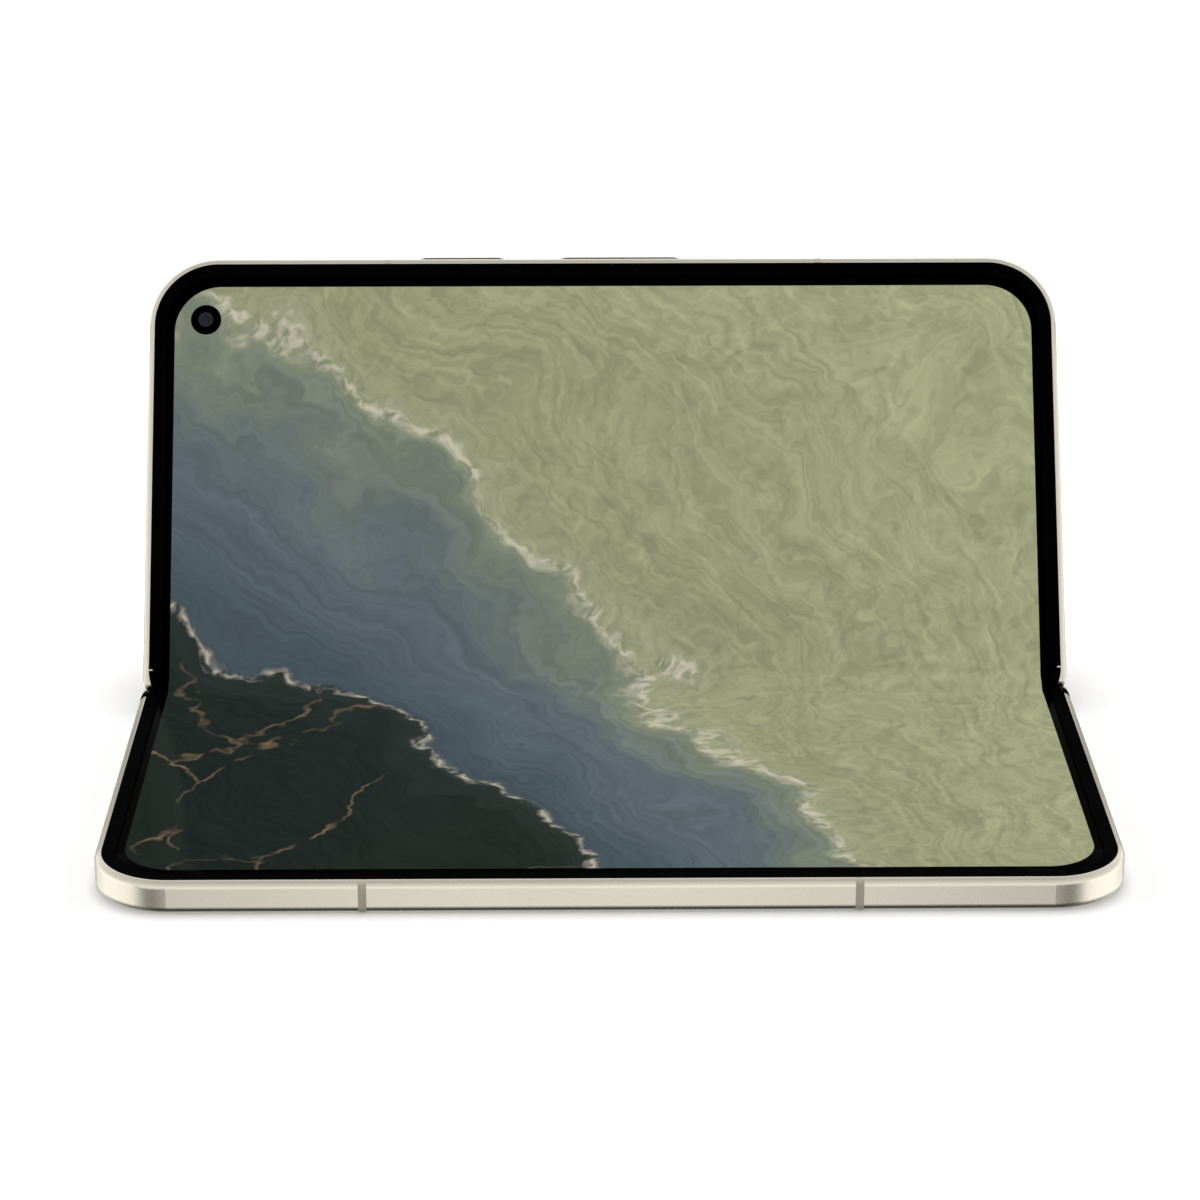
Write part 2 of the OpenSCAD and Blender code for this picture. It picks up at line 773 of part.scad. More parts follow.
module bracket_plate_2d() {
  difference() {
    intersection() {
      stadium(2 * (axis_off + bracket_r), 2 * bracket_r);
      translate([-10, -10]) square([20, 10 + bracket_top]);
    }
    for (s = [-1, 1]) {
      translate([s * axis_off, 0]) circle(r = shaft_r + 0.01, $fn = 48);
      translate([s * idler_y, 0]) circle(r = shaft_r + 0.01, $fn = 48);
    }
  }
}

module hinge_brackets() color("#7f8286") spine_place() at_modules() {
  difference() {
    union() {
      for (x = plates_x) along_hinge(x, x + plate_w) bracket_plate_2d();
      translate([plates_x[0], -axis_off, axis_z - bracket_r]) cube([2 * foot_x, 2 * axis_off, foot_t]);
    }
    translate([foot_x, 0, axis_z - bracket_r - 1]) cylinder(r = foot_r + fit_gap, h = 4, $fn = 32);
  }
}

module bracket_screws() color("#5c5e62") spine_place() at_modules()
  translate([foot_x, 0, axis_z - bracket_r]) difference() {
    union() {
      cylinder(r = foot_r, h = foot_t + 0.1, $fn = 32);
      translate([0, 0, foot_t + 0.01]) cylinder(r = 2 * foot_r, h = foot_t, $fn = 48);
    }
    translate([0, 0, foot_t + 0.1]) cylinder(r = 0.4, h = 1, $fn = 6);
  }

module hinge_shafts() color("#c9cbce") spine_place() at_modules() {
  for (s = [-1, 1]) {
    along_hinge(shaft_x[0], shaft_x[1]) translate([s * axis_off, 0]) circle(r = shaft_r, $fn = 48);
    along_hinge(plates_x[1], shaft_x[1]) translate([s * idler_y, 0]) circle(r = shaft_r, $fn = 48);
  }
}

// Cone washers on the main shafts, stacked in pairs between the outer two plates
module friction_washers() color("#b5a47e") spine_place() at_modules()
  for (s = [-1, 1], i = [0 : 3])
    translate([washer_x + plate_w + fit_gap + i * washer_pitch, s * axis_off, axis_z])
      rotate([0, 90, 0]) translate([0, 0, i % 2 == 0 ? 0 : washer_h]) mirror([0, 0, i % 2])
        rotate_extrude($fn = 64) polygon([[shaft_r + fit_gap, 0], [shaft_r + fit_gap, washer_t],
          [washer_r, washer_h], [washer_r, washer_h - washer_t]]);

module idler_gears(y, phase) {
  at_modules() difference() {
    along_hinge(knuckle_w / 2, knuckle_w / 2 + gear_w) translate([y, 0]) gear_2d(phase);
    along_hinge(0, 3 * gear_w) translate([y, 0]) circle(r = shaft_r + run_gap, $fn = 48);
  }
}

module base_side_idlers() color("#8f9296") spine_place()
  idler_gears(-idler_y, 180 / gear_teeth + half_turn);

module lid_side_idlers() color("#8f9296") spine_place() idler_gears(idler_y, -half_turn);

// Bent stretch of the display between the two flat panels
module display_fold() color("#3c464a") spine_place()
  along_hinge(-half_w + strip_inset, half_w - strip_inset) translate([0, panel_rise + fold_r])
    difference() {
      intersection() {
        circle(r = fold_r + panel_t, $fn = 180);
        polygon([[0, 0], turned([0, -half_d], -half_turn), [0, -half_d], turned([0, -half_d], half_turn)]);
      }
      circle(r = fold_r, $fn = 180);
    }

// ---- Upper half ----

module key_slot(x, len, front) {
  translate([x, half_d + 1, key_mid]) rotate([90, 0, 0]) linear_extrude(wall_t + 2)
    stadium(len + 2 * fit_gap, key_h + 2 * fit_gap);
  translate([x, half_d - front, key_mid]) rotate([90, 0, 0]) linear_extrude(wall_t)
    stadium(len + 2 * flange_w + 0.4, key_h + flange_rise + 0.4);
}

module socket_slot() {
  translate([half_w + 1, socket_v, socket_z]) rotate([90, 0, -90]) linear_extrude(socket_l + 1.5)
    stadium(socket_w + 2 * socket_wall + 0.1, socket_h + 2 * socket_wall + 0.1);
}

module lid_frame() color("#cfc6b2") lid_place() difference() {
  half_frame();
  key_slot(power_x, power_l, flange_d - 0.1);
  key_slot(volume_x, volume_l, flange_d - 0.3);
  socket_slot();
  speaker_holes(1, lid_speaker_v);
  side_hole(-1, speaker_v + 3, mic_r);
  translate([inner_cam_x, inner_cam_v, 0]) cylinder(r = inner_cam_r - 0.1, h = 10, $fn = 64);
}

module lid_antenna_breaks() color("#bab39f") lid_place() antenna_breaks();

module rear_glass() color("#c9c2ae") lid_place() difference() {
  linear_extrude(glass_t) outer_glass_2d();
  translate([island_x, island_v, -1]) linear_extrude(3) stadium(island_l + 0.1, island_w + 0.1);
}

// Runs a section round the island's edge; x runs inward from its outer face
module around_island() {
  straight = island_l - island_w;
  for (s = [0, 180]) translate([island_x, island_v, 0]) rotate([0, 0, s]) {
    translate([straight / 2, 0, 0]) rotate([0, 0, -90]) rotate_extrude(angle = 180, $fn = 128)
      translate([island_w / 2, 0]) mirror([1, 0]) children();
    translate([-straight / 2, island_w / 2, 0]) rotate([90, 0, 90]) linear_extrude(straight)
      mirror([1, 0]) children();
  }
}

module camera_island() color("#cfc6b2") lid_place() difference() {
  union() {
    around_island() translate([0, -island_h]) difference() {
      square([island_wall, island_h + floor_z + 0.4]);
      corner_bite(island_r, 1, 1);
    }
    translate([island_x, island_v, window_t + fit_gap - island_h]) linear_extrude(island_floor)
      stadium(island_l - island_wall, island_w - island_wall);
  }
  for (x = lens_x) translate([x, island_v, -island_h]) cylinder(r = lens_bore_r, h = 3, $fn = 64);
  translate([flash_x, island_v, -island_h]) cylinder(r = flash_r + 0.3, h = 3, $fn = 48);
}

module camera_window() color("#0d0e10") lid_place() difference() {
  translate([island_x, island_v, fit_gap - island_h]) linear_extrude(window_t)
    stadium(island_l - 2 * island_wall - 0.1, island_w - 2 * island_wall - 0.1);
  translate([flash_x, island_v, -island_h - 1]) cylinder(r = flash_r + pad_t, h = 3, $fn = 48);
}

module lens_rings() color("#2a2b2e") lid_place() for (x = lens_x) translate([x, island_v, fit_gap - island_h])
  rotate([180, 0, 0]) rotate_extrude($fn = 96) difference() {
    translate([ring_r - ring_w, 0]) square([ring_w, ring_h]);
    translate([ring_r, ring_h]) corner_bite(0.25, -1, -1);
    translate([ring_r - ring_w, ring_h]) corner_bite(0.15, 1, -1);
  }

// One rear camera: a stepped lens barrel through the island, and its sensor housing
module rear_camera(i, nose_r) {
  translate([lens_x[i], island_v, 0]) {
    translate([0, 0, window_t + 2 * fit_gap - island_h]) rotate_extrude($fn = 64)
      polygon([[0, 0], [nose_r - 3 * nose_step, 0], [nose_r - 2 * nose_step, nose_step],
        [nose_r, nose_step], [nose_r, nose_l], [0, nose_l]]);
    translate([-cam_w / 2, -cam_w / 2, cam_z]) cube([cam_w, cam_w, deck_z - cam_z - fit_gap]);
  }
}

module main_camera() color("#1a1b1e") lid_place() rear_camera(0, 4.7);
module wide_camera() color("#1a1b1e") lid_place() rear_camera(1, 4.4);
module tele_camera() color("#1a1b1e") lid_place() rear_camera(2, 4.1);

module flash_lens() color("#efe9d2") lid_place() translate([flash_x, island_v, fit_gap - island_h])
  cylinder(r = flash_r, h = flash_t, $fn = 48);

// Camera that looks out through the inner display, with a coned stop in front of its lens
module inner_camera() color("#101113") lid_place() translate([inner_cam_x, inner_cam_v, cam_z]) {
  barrel = panel_top - fit_gap - cam_z;
  translate([-inner_cam_w / 2, -inner_cam_w / 2, 0])
    cube([inner_cam_w, inner_cam_w, deck_z - cam_z - 2 * fit_gap]);
  difference() {
    translate([0, 0, 0.1]) cylinder(r = inner_cam_r - 0.2, h = barrel - 0.1, $fn = 64);
    translate([0, 0, barrel - 0.25]) cylinder(r1 = 0.9, r2 = 1.3, h = 0.3, $fn = 48);
  }
}

module lid_battery() color("#2b2d30") lid_place() battery(0, lid_bay_end);

module main_board() color("#2f5a40") lid_place()
  translate([lid_board_x, lid_board_v, cover_top + pad_t]) cube([lid_board_l, lid_board_w, board_t]);

module main_board_shield() color("#b8babd") lid_place() for (i = [0, 1])
  translate([lid_board_x + shield_inset + i * lid_board_l / 2, lid_board_v + shield_inset,
    cover_top + pad_t + board_t])
      shield(lid_board_l / 2 - 2 * shield_inset, lid_board_w - 2 * shield_inset);

// Charging socket: a rounded steel shell with the contact tongue inside, open to the side
module charging_socket() color("#c2c4c7") lid_place() translate([half_w - 0.3, socket_v, socket_z])
  rotate([90, 0, -90]) {
    difference() {
      linear_extrude(socket_l) stadium(socket_w + 2 * socket_wall, socket_h + 2 * socket_wall);
      translate([0, 0, -1]) linear_extrude(socket_l + 0.2) stadium(socket_w, socket_h);
    }
    translate([-tongue_w / 2, -tongue_t / 2, tongue_back])
      cube([tongue_w, tongue_t, socket_l - tongue_back - 0.4]);
  }

module lid_speaker() color("#26282b") lid_place() speaker_box(lid_speaker_v, speaker_l);

// Flat charging coil: five wound rings with their gaps on a thin ferrite disc
module charging_coil() color("#a86a3c") lid_place()
  translate([lid_bay_end / 2, (bay_v + bay_end) / 2, floor_z + bond_t]) {
    for (i = [0 : 4]) difference() {
      cylinder(r = coil_r - coil_rim - i * coil_pitch, h = coil_t, $fn = 96);
      translate([0, 0, -1]) cylinder(r = coil_r - coil_rim - coil_wire - i * coil_pitch, h = 2, $fn = 96);
    }
    translate([0, 0, coil_t]) cylinder(r = coil_r, h = ferrite_t, $fn = 96);
  }

// Strip behind the keys, with the dome switches that they press
module key_board() color("#b07a3a") lid_place() {
  back = half_d - key_board_back;
  translate([power_x - power_l / 2 - 1, back, key_board_z])
    cube([volume_x - power_x + (volume_l + power_l) / 2 + 2, key_board_t, key_board_h]);
  for (x = [power_x, volume_x - rocker_pips, volume_x + rocker_pips])
    translate([x, back + key_board_t, key_mid]) rotate([-90, 0, 0]) rotate_extrude($fn = 48)
      polygon([[0, 0], [dome_r, 0], [0.8 * dome_r, 0.7 * dome_h], [0.4 * dome_r, dome_h], [0, dome_h]]);
}

module key(x, len, pips) {
  translate([x, half_d + key_out, key_mid]) rotate([90, 0, 0]) {
    linear_extrude(key_out + flange_d) stadium(len, key_h);
    translate([0, 0, key_out + flange_d - 0.01]) linear_extrude(flange_t)
      stadium(len + 2 * flange_w, key_h + flange_rise);
    for (p = pips) translate([p, 0, key_out + flange_d + flange_t - 0.02])
      cylinder(r = pip_r, h = pip_h, $fn = 32);
  }
}

module power_button() color("#c7bfa9") lid_place() key(power_x, power_l, [0]);
// The rocker tips about a round fulcrum across the middle of its flange
module volume_rocker() color("#c7bfa9") lid_place() {
  key(volume_x, volume_l, [-rocker_pips, rocker_pips]);
  translate([volume_x, half_d - flange_d - flange_t / 2, key_mid])
    cylinder(r = fulcrum_r, h = key_h + flange_rise + 0.2, center = true, $fn = 48);
}
module lid_magnets() color("#7d7f83") lid_place() magnets();
module lid_hinge_arms() color("#8f9296") lid_place() hinge_arms(180 / gear_teeth);
module lid_arm_screws() color("#6c6e72") lid_place() arm_screws();
module lid_support_plate() color("#a9abae") lid_place() support_plate();
module lid_bezel() color("#0b0b0c") lid_place() bezel();
module lid_hinge_seals() color("#0d0d0e") lid_place() hinge_seals();

module lid_display_panel() color("#3c464a") lid_place() difference() {
  display_panel();
  translate([inner_cam_x, inner_cam_v, 0]) cylinder(r = inner_cam_r, h = 10, $fn = 64);
}

base_frame();
base_antenna_breaks();
cover_glass();
cover_display();
cover_camera();
base_battery();
base_board();
base_board_shield();
vibration_motor();
base_speaker();
earpiece();
card_reader();
card_tray();
base_magnets();
base_hinge_arms();
base_arm_screws();
base_support_plate();
base_display_panel();
base_bezel();
base_hinge_seals();
hinge_spine();
spine_end_caps();
hinge_brackets();
bracket_screws();
hinge_shafts();
friction_washers();
base_side_idlers();
lid_side_idlers();
display_fold();
lid_frame();
lid_antenna_breaks();
rear_glass();
camera_island();
camera_window();
lens_rings();
main_camera();
wide_camera();
tele_camera();
flash_lens();
inner_camera();
lid_battery();
main_board();
main_board_shield();
charging_socket();
lid_speaker();
charging_coil();
key_board();
power_button();
volume_rocker();
lid_magnets();
lid_hinge_arms();
lid_arm_screws();
lid_support_plate();
lid_display_panel();
lid_bezel();
lid_hinge_seals();
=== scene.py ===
import math

import bmesh
import bpy
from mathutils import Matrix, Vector


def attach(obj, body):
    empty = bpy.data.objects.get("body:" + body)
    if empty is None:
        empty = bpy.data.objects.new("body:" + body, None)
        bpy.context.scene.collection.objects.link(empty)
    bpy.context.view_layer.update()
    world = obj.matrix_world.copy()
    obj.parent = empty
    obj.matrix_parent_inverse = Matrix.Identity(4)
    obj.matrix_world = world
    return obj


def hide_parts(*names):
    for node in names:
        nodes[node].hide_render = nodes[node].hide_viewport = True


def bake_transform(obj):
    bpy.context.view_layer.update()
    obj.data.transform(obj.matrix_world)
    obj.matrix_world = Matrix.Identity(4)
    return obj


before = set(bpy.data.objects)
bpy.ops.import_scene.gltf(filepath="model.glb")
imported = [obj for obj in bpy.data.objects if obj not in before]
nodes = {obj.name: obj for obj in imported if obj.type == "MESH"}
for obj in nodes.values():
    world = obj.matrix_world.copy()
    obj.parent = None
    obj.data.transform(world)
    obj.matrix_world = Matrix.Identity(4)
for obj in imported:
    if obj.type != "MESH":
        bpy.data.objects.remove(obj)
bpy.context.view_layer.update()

mm = 0.001

# Sizes of the phone that the pieces here share, in mm, and the angle between its halves
phone = {
    "width": 155.2,
    "halfDepth": 75.1,
    "thickness": 5.1,
    "cornerRadius": 11.8,
    "angle": 121.0,
    "axisOffset": 2.2,
    "axisHeight": 3.05,
}
halfTurn = math.radians((180 - phone["angle"]) / 2)
foldY = phone["halfDepth"] / 2
# The two hinge axes as (y, z): the base's, and the lid's while the hinge is flat
baseAxis = (foldY - phone["axisOffset"], phone["axisHeight"])
flatLidAxis = (foldY + phone["axisOffset"], phone["axisHeight"])


def turnedAbout(point, axisY, axisZ, angle):
    # Turns a point in mm about an axis that runs along X
    dy, dz = point[1] - axisY, point[2] - axisZ
    c, s = math.cos(angle), math.sin(angle)
    return (point[0], axisY + c * dy - s * dz, axisZ + s * dy + c * dz)


def baseSpot(x, v, z):
    return (x, foldY - v, z)


def spineSpot(x, y, z):
    # From the hinge drawn flat (y = 0 on the fold plane) to where it stands
    return turnedAbout((x, foldY + y, z), *baseAxis, halfTurn)


def lidSpot(x, v, z):
    return turnedAbout(turnedAbout((x, foldY + v, z), *flatLidAxis, halfTurn), *baseAxis, halfTurn)


def metres(point):
    return Vector(point) * mm


def hexColour(text):
    # sRGB hex to the linear colour that the shaders take
    parts = [int(text[i:i + 2], 16) / 255 for i in (1, 3, 5)]
    linear = [c / 12.92 if c <= 0.04045 else ((c + 0.055) / 1.055) ** 2.4 for c in parts]
    return (*linear, 1.0)


def addNode(tree, kind, settings=None, links=None):
    # A setting that names or numbers a socket goes there, "stops" to the colour ramp, the rest to the node.
    # Colours are hex text, and a linked node gives its first output in use
    node = tree.nodes.new("ShaderNode" + kind)
    for name, value in (settings or {}).items():
        if isinstance(value, str) and value.startswith("#"):
            value = hexColour(value)
        if name == "stops":
            while len(node.color_ramp.elements) < len(value):
                node.color_ramp.elements.new(0.5)
            for element, (place, colour) in zip(node.color_ramp.elements, value):
                element.position = place
                element.color = hexColour(colour) if isinstance(colour, str) else (colour, colour, colour, 1)
        elif isinstance(name, int) or name in node.inputs:
            node.inputs[name].default_value = value
        else:
            setattr(node, name, value)
    for name, source in (links or {}).items():
        if isinstance(source, bpy.types.Node):
            source = next(out for out in source.outputs if out.enabled)
        tree.links.new(source, node.inputs[name])
    return node


finishes = {}


def newFinish(name, viewColour):
    # Puts an empty material among the finishes and gives its nodes
    material = bpy.data.materials.new(name)
    material.use_nodes = True
    material.node_tree.nodes.clear()
    material.diffuse_color = hexColour(viewColour)
    finishes[name] = material
    return material.node_tree


def placeInMm(tree, stretch=(1, 1, 1)):
    # Object coordinates in mm, so that a pattern's scale reads as counts per mm
    spot = addNode(tree, "TexCoord").outputs["Object"]
    return addNode(tree, "Mapping", {"Scale": [s / mm for s in stretch]}, {"Vector": spot})


def grainNormal(tree, place, grain, depth, strength=1.0):
    # Small bumps about grain mm across and depth mm deep
    noise = addNode(tree, "TexNoise", {"Scale": 1 / grain, "Detail": 2.0}, {"Vector": place})
    return addNode(tree, "Bump", {"Strength": strength, "Distance": depth * mm}, {"Height": noise}), noise


def patchyFinish(name, light, dark, patch, grain, depth, roughness, spread, shader, stretch=(1, 1, 1)):
    # Colour drifts between light and dark over patch mm, and roughness by spread over a grain of bumps
    tree = newFinish(name, light)
    place = placeInMm(tree, stretch)
    patches = addNode(tree, "TexNoise", {"Scale": 1 / patch, "Detail": 3.0}, {"Vector": place})
    colour = addNode(tree, "ValToRGB", {"stops": [(0.3, dark), (0.7, light)]}, {"Fac": patches})
    normal, bumps = grainNormal(tree, place, grain, depth)
    gloss = addNode(tree, "MapRange", {"To Min": roughness - spread, "To Max": roughness + spread},
                    {"Value": bumps})
    surface = addNode(tree, "BsdfPrincipled", shader,
                      {"Base Color": colour, "Roughness": gloss, "Normal": normal})
    addNode(tree, "OutputMaterial", links={"Surface": surface})


# Aluminium, fine-blasted and anodised champagne: even satin sheen, grit of 0.05 mm drawn 0.2 mm to show
patchyFinish("blastedChampagneAluminium", "#E3DCCD", "#DDD6C6", patch=30, grain=0.2, depth=0.004,
             roughness=0.26, spread=0.04, shader={"Metallic": 1.0})
# Aluminium, polished then anodised: the same colour a little deeper, with fine lines along the hinge
patchyFinish("polishedChampagneAluminium", "#C3BAA5", "#B9AF99", patch=20, grain=0.3, depth=0.002,
             roughness=0.2, spread=0.04, shader={"Metallic": 1.0}, stretch=(0.05, 1, 1))
# PBT resin, moulded into the frame and milled flush: matt, a shade darker than the metal
patchyFinish("antennaResin", "#BDB6A2", "#B2AB97", patch=3, grain=0.15, depth=0.006, roughness=0.5,
             spread=0.06, shader={"IOR": 1.53})
# Silicone-coated PET lip, moulded: nearly black, dull. The same black also colours pieces that stand for
# painted shade: the rings round the keys and the skins over the hinge ends
patchyFinish("blackLipAndPaintedShade", "#040404", "#020202", patch=6, grain=0.2, depth=0.006, roughness=0.6,
             spread=0.06, shader={"IOR": 1.42, "Specular IOR Level": 0.005})
# Back glass, etched to satin over a pearl layer: milky, soft reflections
patchyFinish("satinRearGlass", "#D3CCBB", "#CDC5B3", patch=25, grain=0.25, depth=0.002, roughness=0.34,
             spread=0.03, shader={"IOR": 1.51, "Sheen Weight": 0.08, "Sheen Roughness": 0.4,
                                  "Coat Weight": 0.25, "Coat Roughness": 0.3})
# Aluminium barrels, turned and anodised black: fine rings, low sheen
patchyFinish("turnedBlackAluminium", "#2A2A2C", "#1B1B1D", patch=1.5, grain=0.12, depth=0.006,
             roughness=0.34, spread=0.06, shader={"Metallic": 0.9})
# Stainless steel sheet, stamped: greyish, faint rolling lines along x
patchyFinish("stampedStainlessSteel", "#C6C7C8", "#B2B4B6", patch=6, grain=0.2, depth=0.004,
             roughness=0.3, spread=0.08, shader={"Metallic": 1.0}, stretch=(0.08, 1, 1))
# Steel powder, moulded and sintered: dark grey, slightly rough
patchyFinish("sinteredSteel", "#8F9296", "#7C7F83", patch=2, grain=0.12, depth=0.01, roughness=0.42,
             spread=0.08, shader={"Metallic": 1.0})
# Phosphor bronze, punched: warm brown-gold
patchyFinish("punchedBronze", "#B79F6E", "#A38B5C", patch=1, grain=0.1, depth=0.004, roughness=0.33,
             spread=0.06, shader={"Metallic": 1.0})
# Neodymium and motor cans, nickel plated: bright, cool
patchyFinish("nickelPlate", "#B9BABD", "#A3A5A8", patch=4, grain=0.2, depth=0.003, roughness=0.24,
             spread=0.06, shader={"Metallic": 1.0})
# Battery pouch in black PET wrap: soft wrinkles, dull shine
patchyFinish("pouchWrap", "#2B2C2F", "#232427", patch=12, grain=2.2, depth=0.05, roughness=0.38,
             spread=0.08, shader={"IOR": 1.57})
# Carbon-loaded ABS baffle, moulded and textured: black that swallows light
patchyFinish("mattBlackBaffle", "#0E0E10", "#09090B", patch=2, grain=0.15, depth=0.01, roughness=0.62,
             spread=0.06, shader={"IOR": 1.53, "Specular IOR Level": 0.25})
# Ink ring printed under the display glass round the lens: charcoal, satin
patchyFinish("darkLensSurround", "#202321", "#191C1A", patch=1, grain=0.2, depth=0.001, roughness=0.4,
             spread=0.04, shader={"IOR": 1.5, "Specular IOR Level": 0.2})
# Polyimide film, laminated: amber brown, smooth
patchyFinish("polyimideFilm", "#B27A38", "#9E6A2E", patch=5, grain=0.4, depth=0.004, roughness=0.3,
             spread=0.05, shader={"IOR": 1.68})
# Glass-filled nylon, moulded: dark grey, dull, slightly sandy
patchyFinish("glassFilledNylon", "#2A2B2E", "#202124", patch=4, grain=0.2, depth=0.012, roughness=0.52,
             spread=0.08, shader={"IOR": 1.53})
# Copper contacts, punched and gold plated: warm and bright
patchyFinish("goldPlatedContact", "#D8B45C", "#C49C45", patch=0.8, grain=0.08, depth=0.003,
             roughness=0.25, spread=0.05, shader={"Metallic": 1.0})
# Display laminate edge: OLED stack on black film
patchyFinish("displayLaminate", "#15181A", "#0E1011", patch=8, grain=0.5, depth=0.002, roughness=0.22,
             spread=0.04, shader={"IOR": 1.5})


def insideRoundedBox(tree, place, half, radius, blur=0.04):
    # 1 inside a rounded rectangle centred on the origin of place, 0 outside; sizes in mm
    reach = (half[0] - radius, half[1] - radius, 1000)
    folded = addNode(tree, "VectorMath", {"operation": "ABSOLUTE"}, {0: place})
    past = addNode(tree, "VectorMath", {"operation": "SUBTRACT", 1: reach}, {0: folded})
    outside = addNode(tree, "VectorMath", {"operation": "MAXIMUM", 1: (0, 0, 0)}, {0: past})
    length = addNode(tree, "VectorMath", {"operation": "LENGTH"}, {0: outside})
    return addNode(tree, "MapRange", {"From Min": radius + blur, "From Max": radius - blur},
                   {"Value": length})


# Settings of the Mix node for two colours, whose sockets are 0 for the share, 6 and 7 for the colours
asColours = {"data_type": "RGBA"}
asProduct = {"data_type": "RGBA", "blend_type": "MULTIPLY", 0: 1.0}

# The lit picture and its hole for the camera, in mm from the middle of the fold; its bands and their foam
# are placed by their share of the reach, which is measured from the centre
picture = {
    "halfSize": (73.13, 70.09),
    "cornerRadius": 7.9,
    "cameraSpot": (-67.85, 64.35, 0),
    "cameraHole": 2.6,
    "edgeBlur": 0.04,
    "glow": 0.86,
    "centre": (-128, -96, 0),
    "reach": (60.0, 240.0),
    "bendSize": 52,
    "bendDepth": 62.0,
    "bands": [(0.0, "#1C2521"), (0.30, "#222B27"), (0.352, "#2E3633"), (0.362, "#46525A"), (0.44, "#566269"),
              (0.52, "#5F6B70"), (0.575, "#7C8474"), (0.60, "#969A79"), (1.0, "#A5A783")],
    "foam": [(0.0, 0.0), (0.349, 0.0), (0.3555, 0.75), (0.361, 0.0), (0.578, 0.0), (0.592, 1.0),
             (0.598, 0.15), (0.64, 0.0)],
    "foamColour": "#CFC8B4",
    "foamSize": 2.2,
    "streakGap": 1.6,
    "streakStretch": 0.08,
    "rippleGap": 4.5,
    "threadCells": 46,
    "threadColour": "#8E765A",
    "dustSize": 9,
}


def makePicture(tree, place):
    # Wet sand, silt and shallow water from above, in bands about a point off the lower left corner
    waves = addNode(tree, "TexNoise", {"Scale": 1 / picture["bendSize"], "Detail": 5.0, "Roughness": 0.55},
                    {"Vector": place}).outputs["Color"]
    bend = addNode(tree, "VectorMath", {"operation": "SUBTRACT", 1: (0.5, 0.5, 0.5)}, {0: waves})
    bend = addNode(tree, "VectorMath", {"operation": "SCALE", "Scale": picture["bendDepth"]}, {0: bend})
    bent = addNode(tree, "VectorMath", {"operation": "ADD"}, {0: place, 1: bend})
    away = addNode(tree, "VectorMath", {"operation": "DISTANCE", 1: picture["centre"]}, {0: bent})
    near, far = picture["reach"]
    distance = addNode(tree, "MapRange", {"From Min": near, "From Max": far}, {"Value": away})
    bands = addNode(tree, "ValToRGB", {"stops": picture["bands"]}, {"Fac": distance})
    # Silt streaks that follow the bands: streakGap mm apart, and a dozen times as long
    along = addNode(tree, "CombineXYZ", links={"X": away})
    stretch = (picture["streakStretch"], picture["streakStretch"], 0)
    streakPlace = addNode(tree, "VectorMath", {"operation": "MULTIPLY_ADD", 1: stretch}, {0: bent, 2: along})
    streaks = addNode(tree, "TexNoise", {"Scale": 1 / picture["streakGap"], "Detail": 4.0},
                      {"Vector": streakPlace})
    streakLight = addNode(tree, "MapRange", {
        "From Min": 0.3, "From Max": 0.7, "To Min": 0.84, "To Max": 1.14}, {"Value": streaks})
    lit = addNode(tree, "Mix", asProduct, {6: bands, 7: streakLight})
    # Ripples on the shallow side
    ripples = addNode(tree, "TexNoise", {
        "Scale": 1 / picture["rippleGap"], "Detail": 5.0, "Distortion": 1.2}, {"Vector": bent})
    rippleLight = addNode(tree, "MapRange", {
        "From Min": 0.35, "From Max": 0.65, "To Min": 0.88, "To Max": 1.1}, {"Value": ripples})
    shallow = addNode(tree, "MapRange", {"From Min": 0.54, "From Max": 0.62}, {"Value": distance})
    rippled = addNode(tree, "Mix", asProduct, {6: lit, 7: rippleLight})
    lit = addNode(tree, "Mix", asColours, {0: shallow, 6: lit, 7: rippled})
    # Tan threads of silt in the dark part
    cells = addNode(tree, "TexVoronoi", {"feature": "DISTANCE_TO_EDGE", "Scale": 1 / picture["threadCells"]},
                    {"Vector": bent})
    thread = addNode(tree, "MapRange", {"From Min": 0.012, "From Max": 0.002}, {"Value": cells})
    dust = addNode(tree, "TexNoise", {"Scale": 1 / picture["dustSize"], "Detail": 6.0}, {"Vector": bent})
    dustShare = addNode(tree, "MapRange", {"From Min": 0.42, "From Max": 0.66, "To Max": 0.75},
                        {"Value": dust})
    deep = addNode(tree, "MapRange", {"From Min": 0.36, "From Max": 0.33}, {"Value": distance})
    threadShare = addNode(tree, "Math", {"operation": "MULTIPLY"}, {0: thread, 1: dustShare})
    threadShare = addNode(tree, "Math", {"operation": "MULTIPLY"}, {0: threadShare, 1: deep})
    lit = addNode(tree, "Mix", {**asColours, 7: picture["threadColour"]}, {0: threadShare, 6: lit})
    # Cream foam along the two edges of the slate band
    froth = addNode(tree, "TexNoise", {"Scale": 1 / picture["foamSize"], "Detail": 5.0}, {"Vector": bent})
    foamEdge = addNode(tree, "ValToRGB", {"stops": picture["foam"]}, {"Fac": distance})
    foamBreaks = addNode(tree, "MapRange", {"From Min": 0.4, "From Max": 0.6}, {"Value": froth})
    foam = addNode(tree, "Math", {"operation": "MULTIPLY"}, {0: foamEdge, 1: foamBreaks})
    return addNode(tree, "Mix", {**asColours, 7: picture["foamColour"]}, {0: foam, 6: lit})


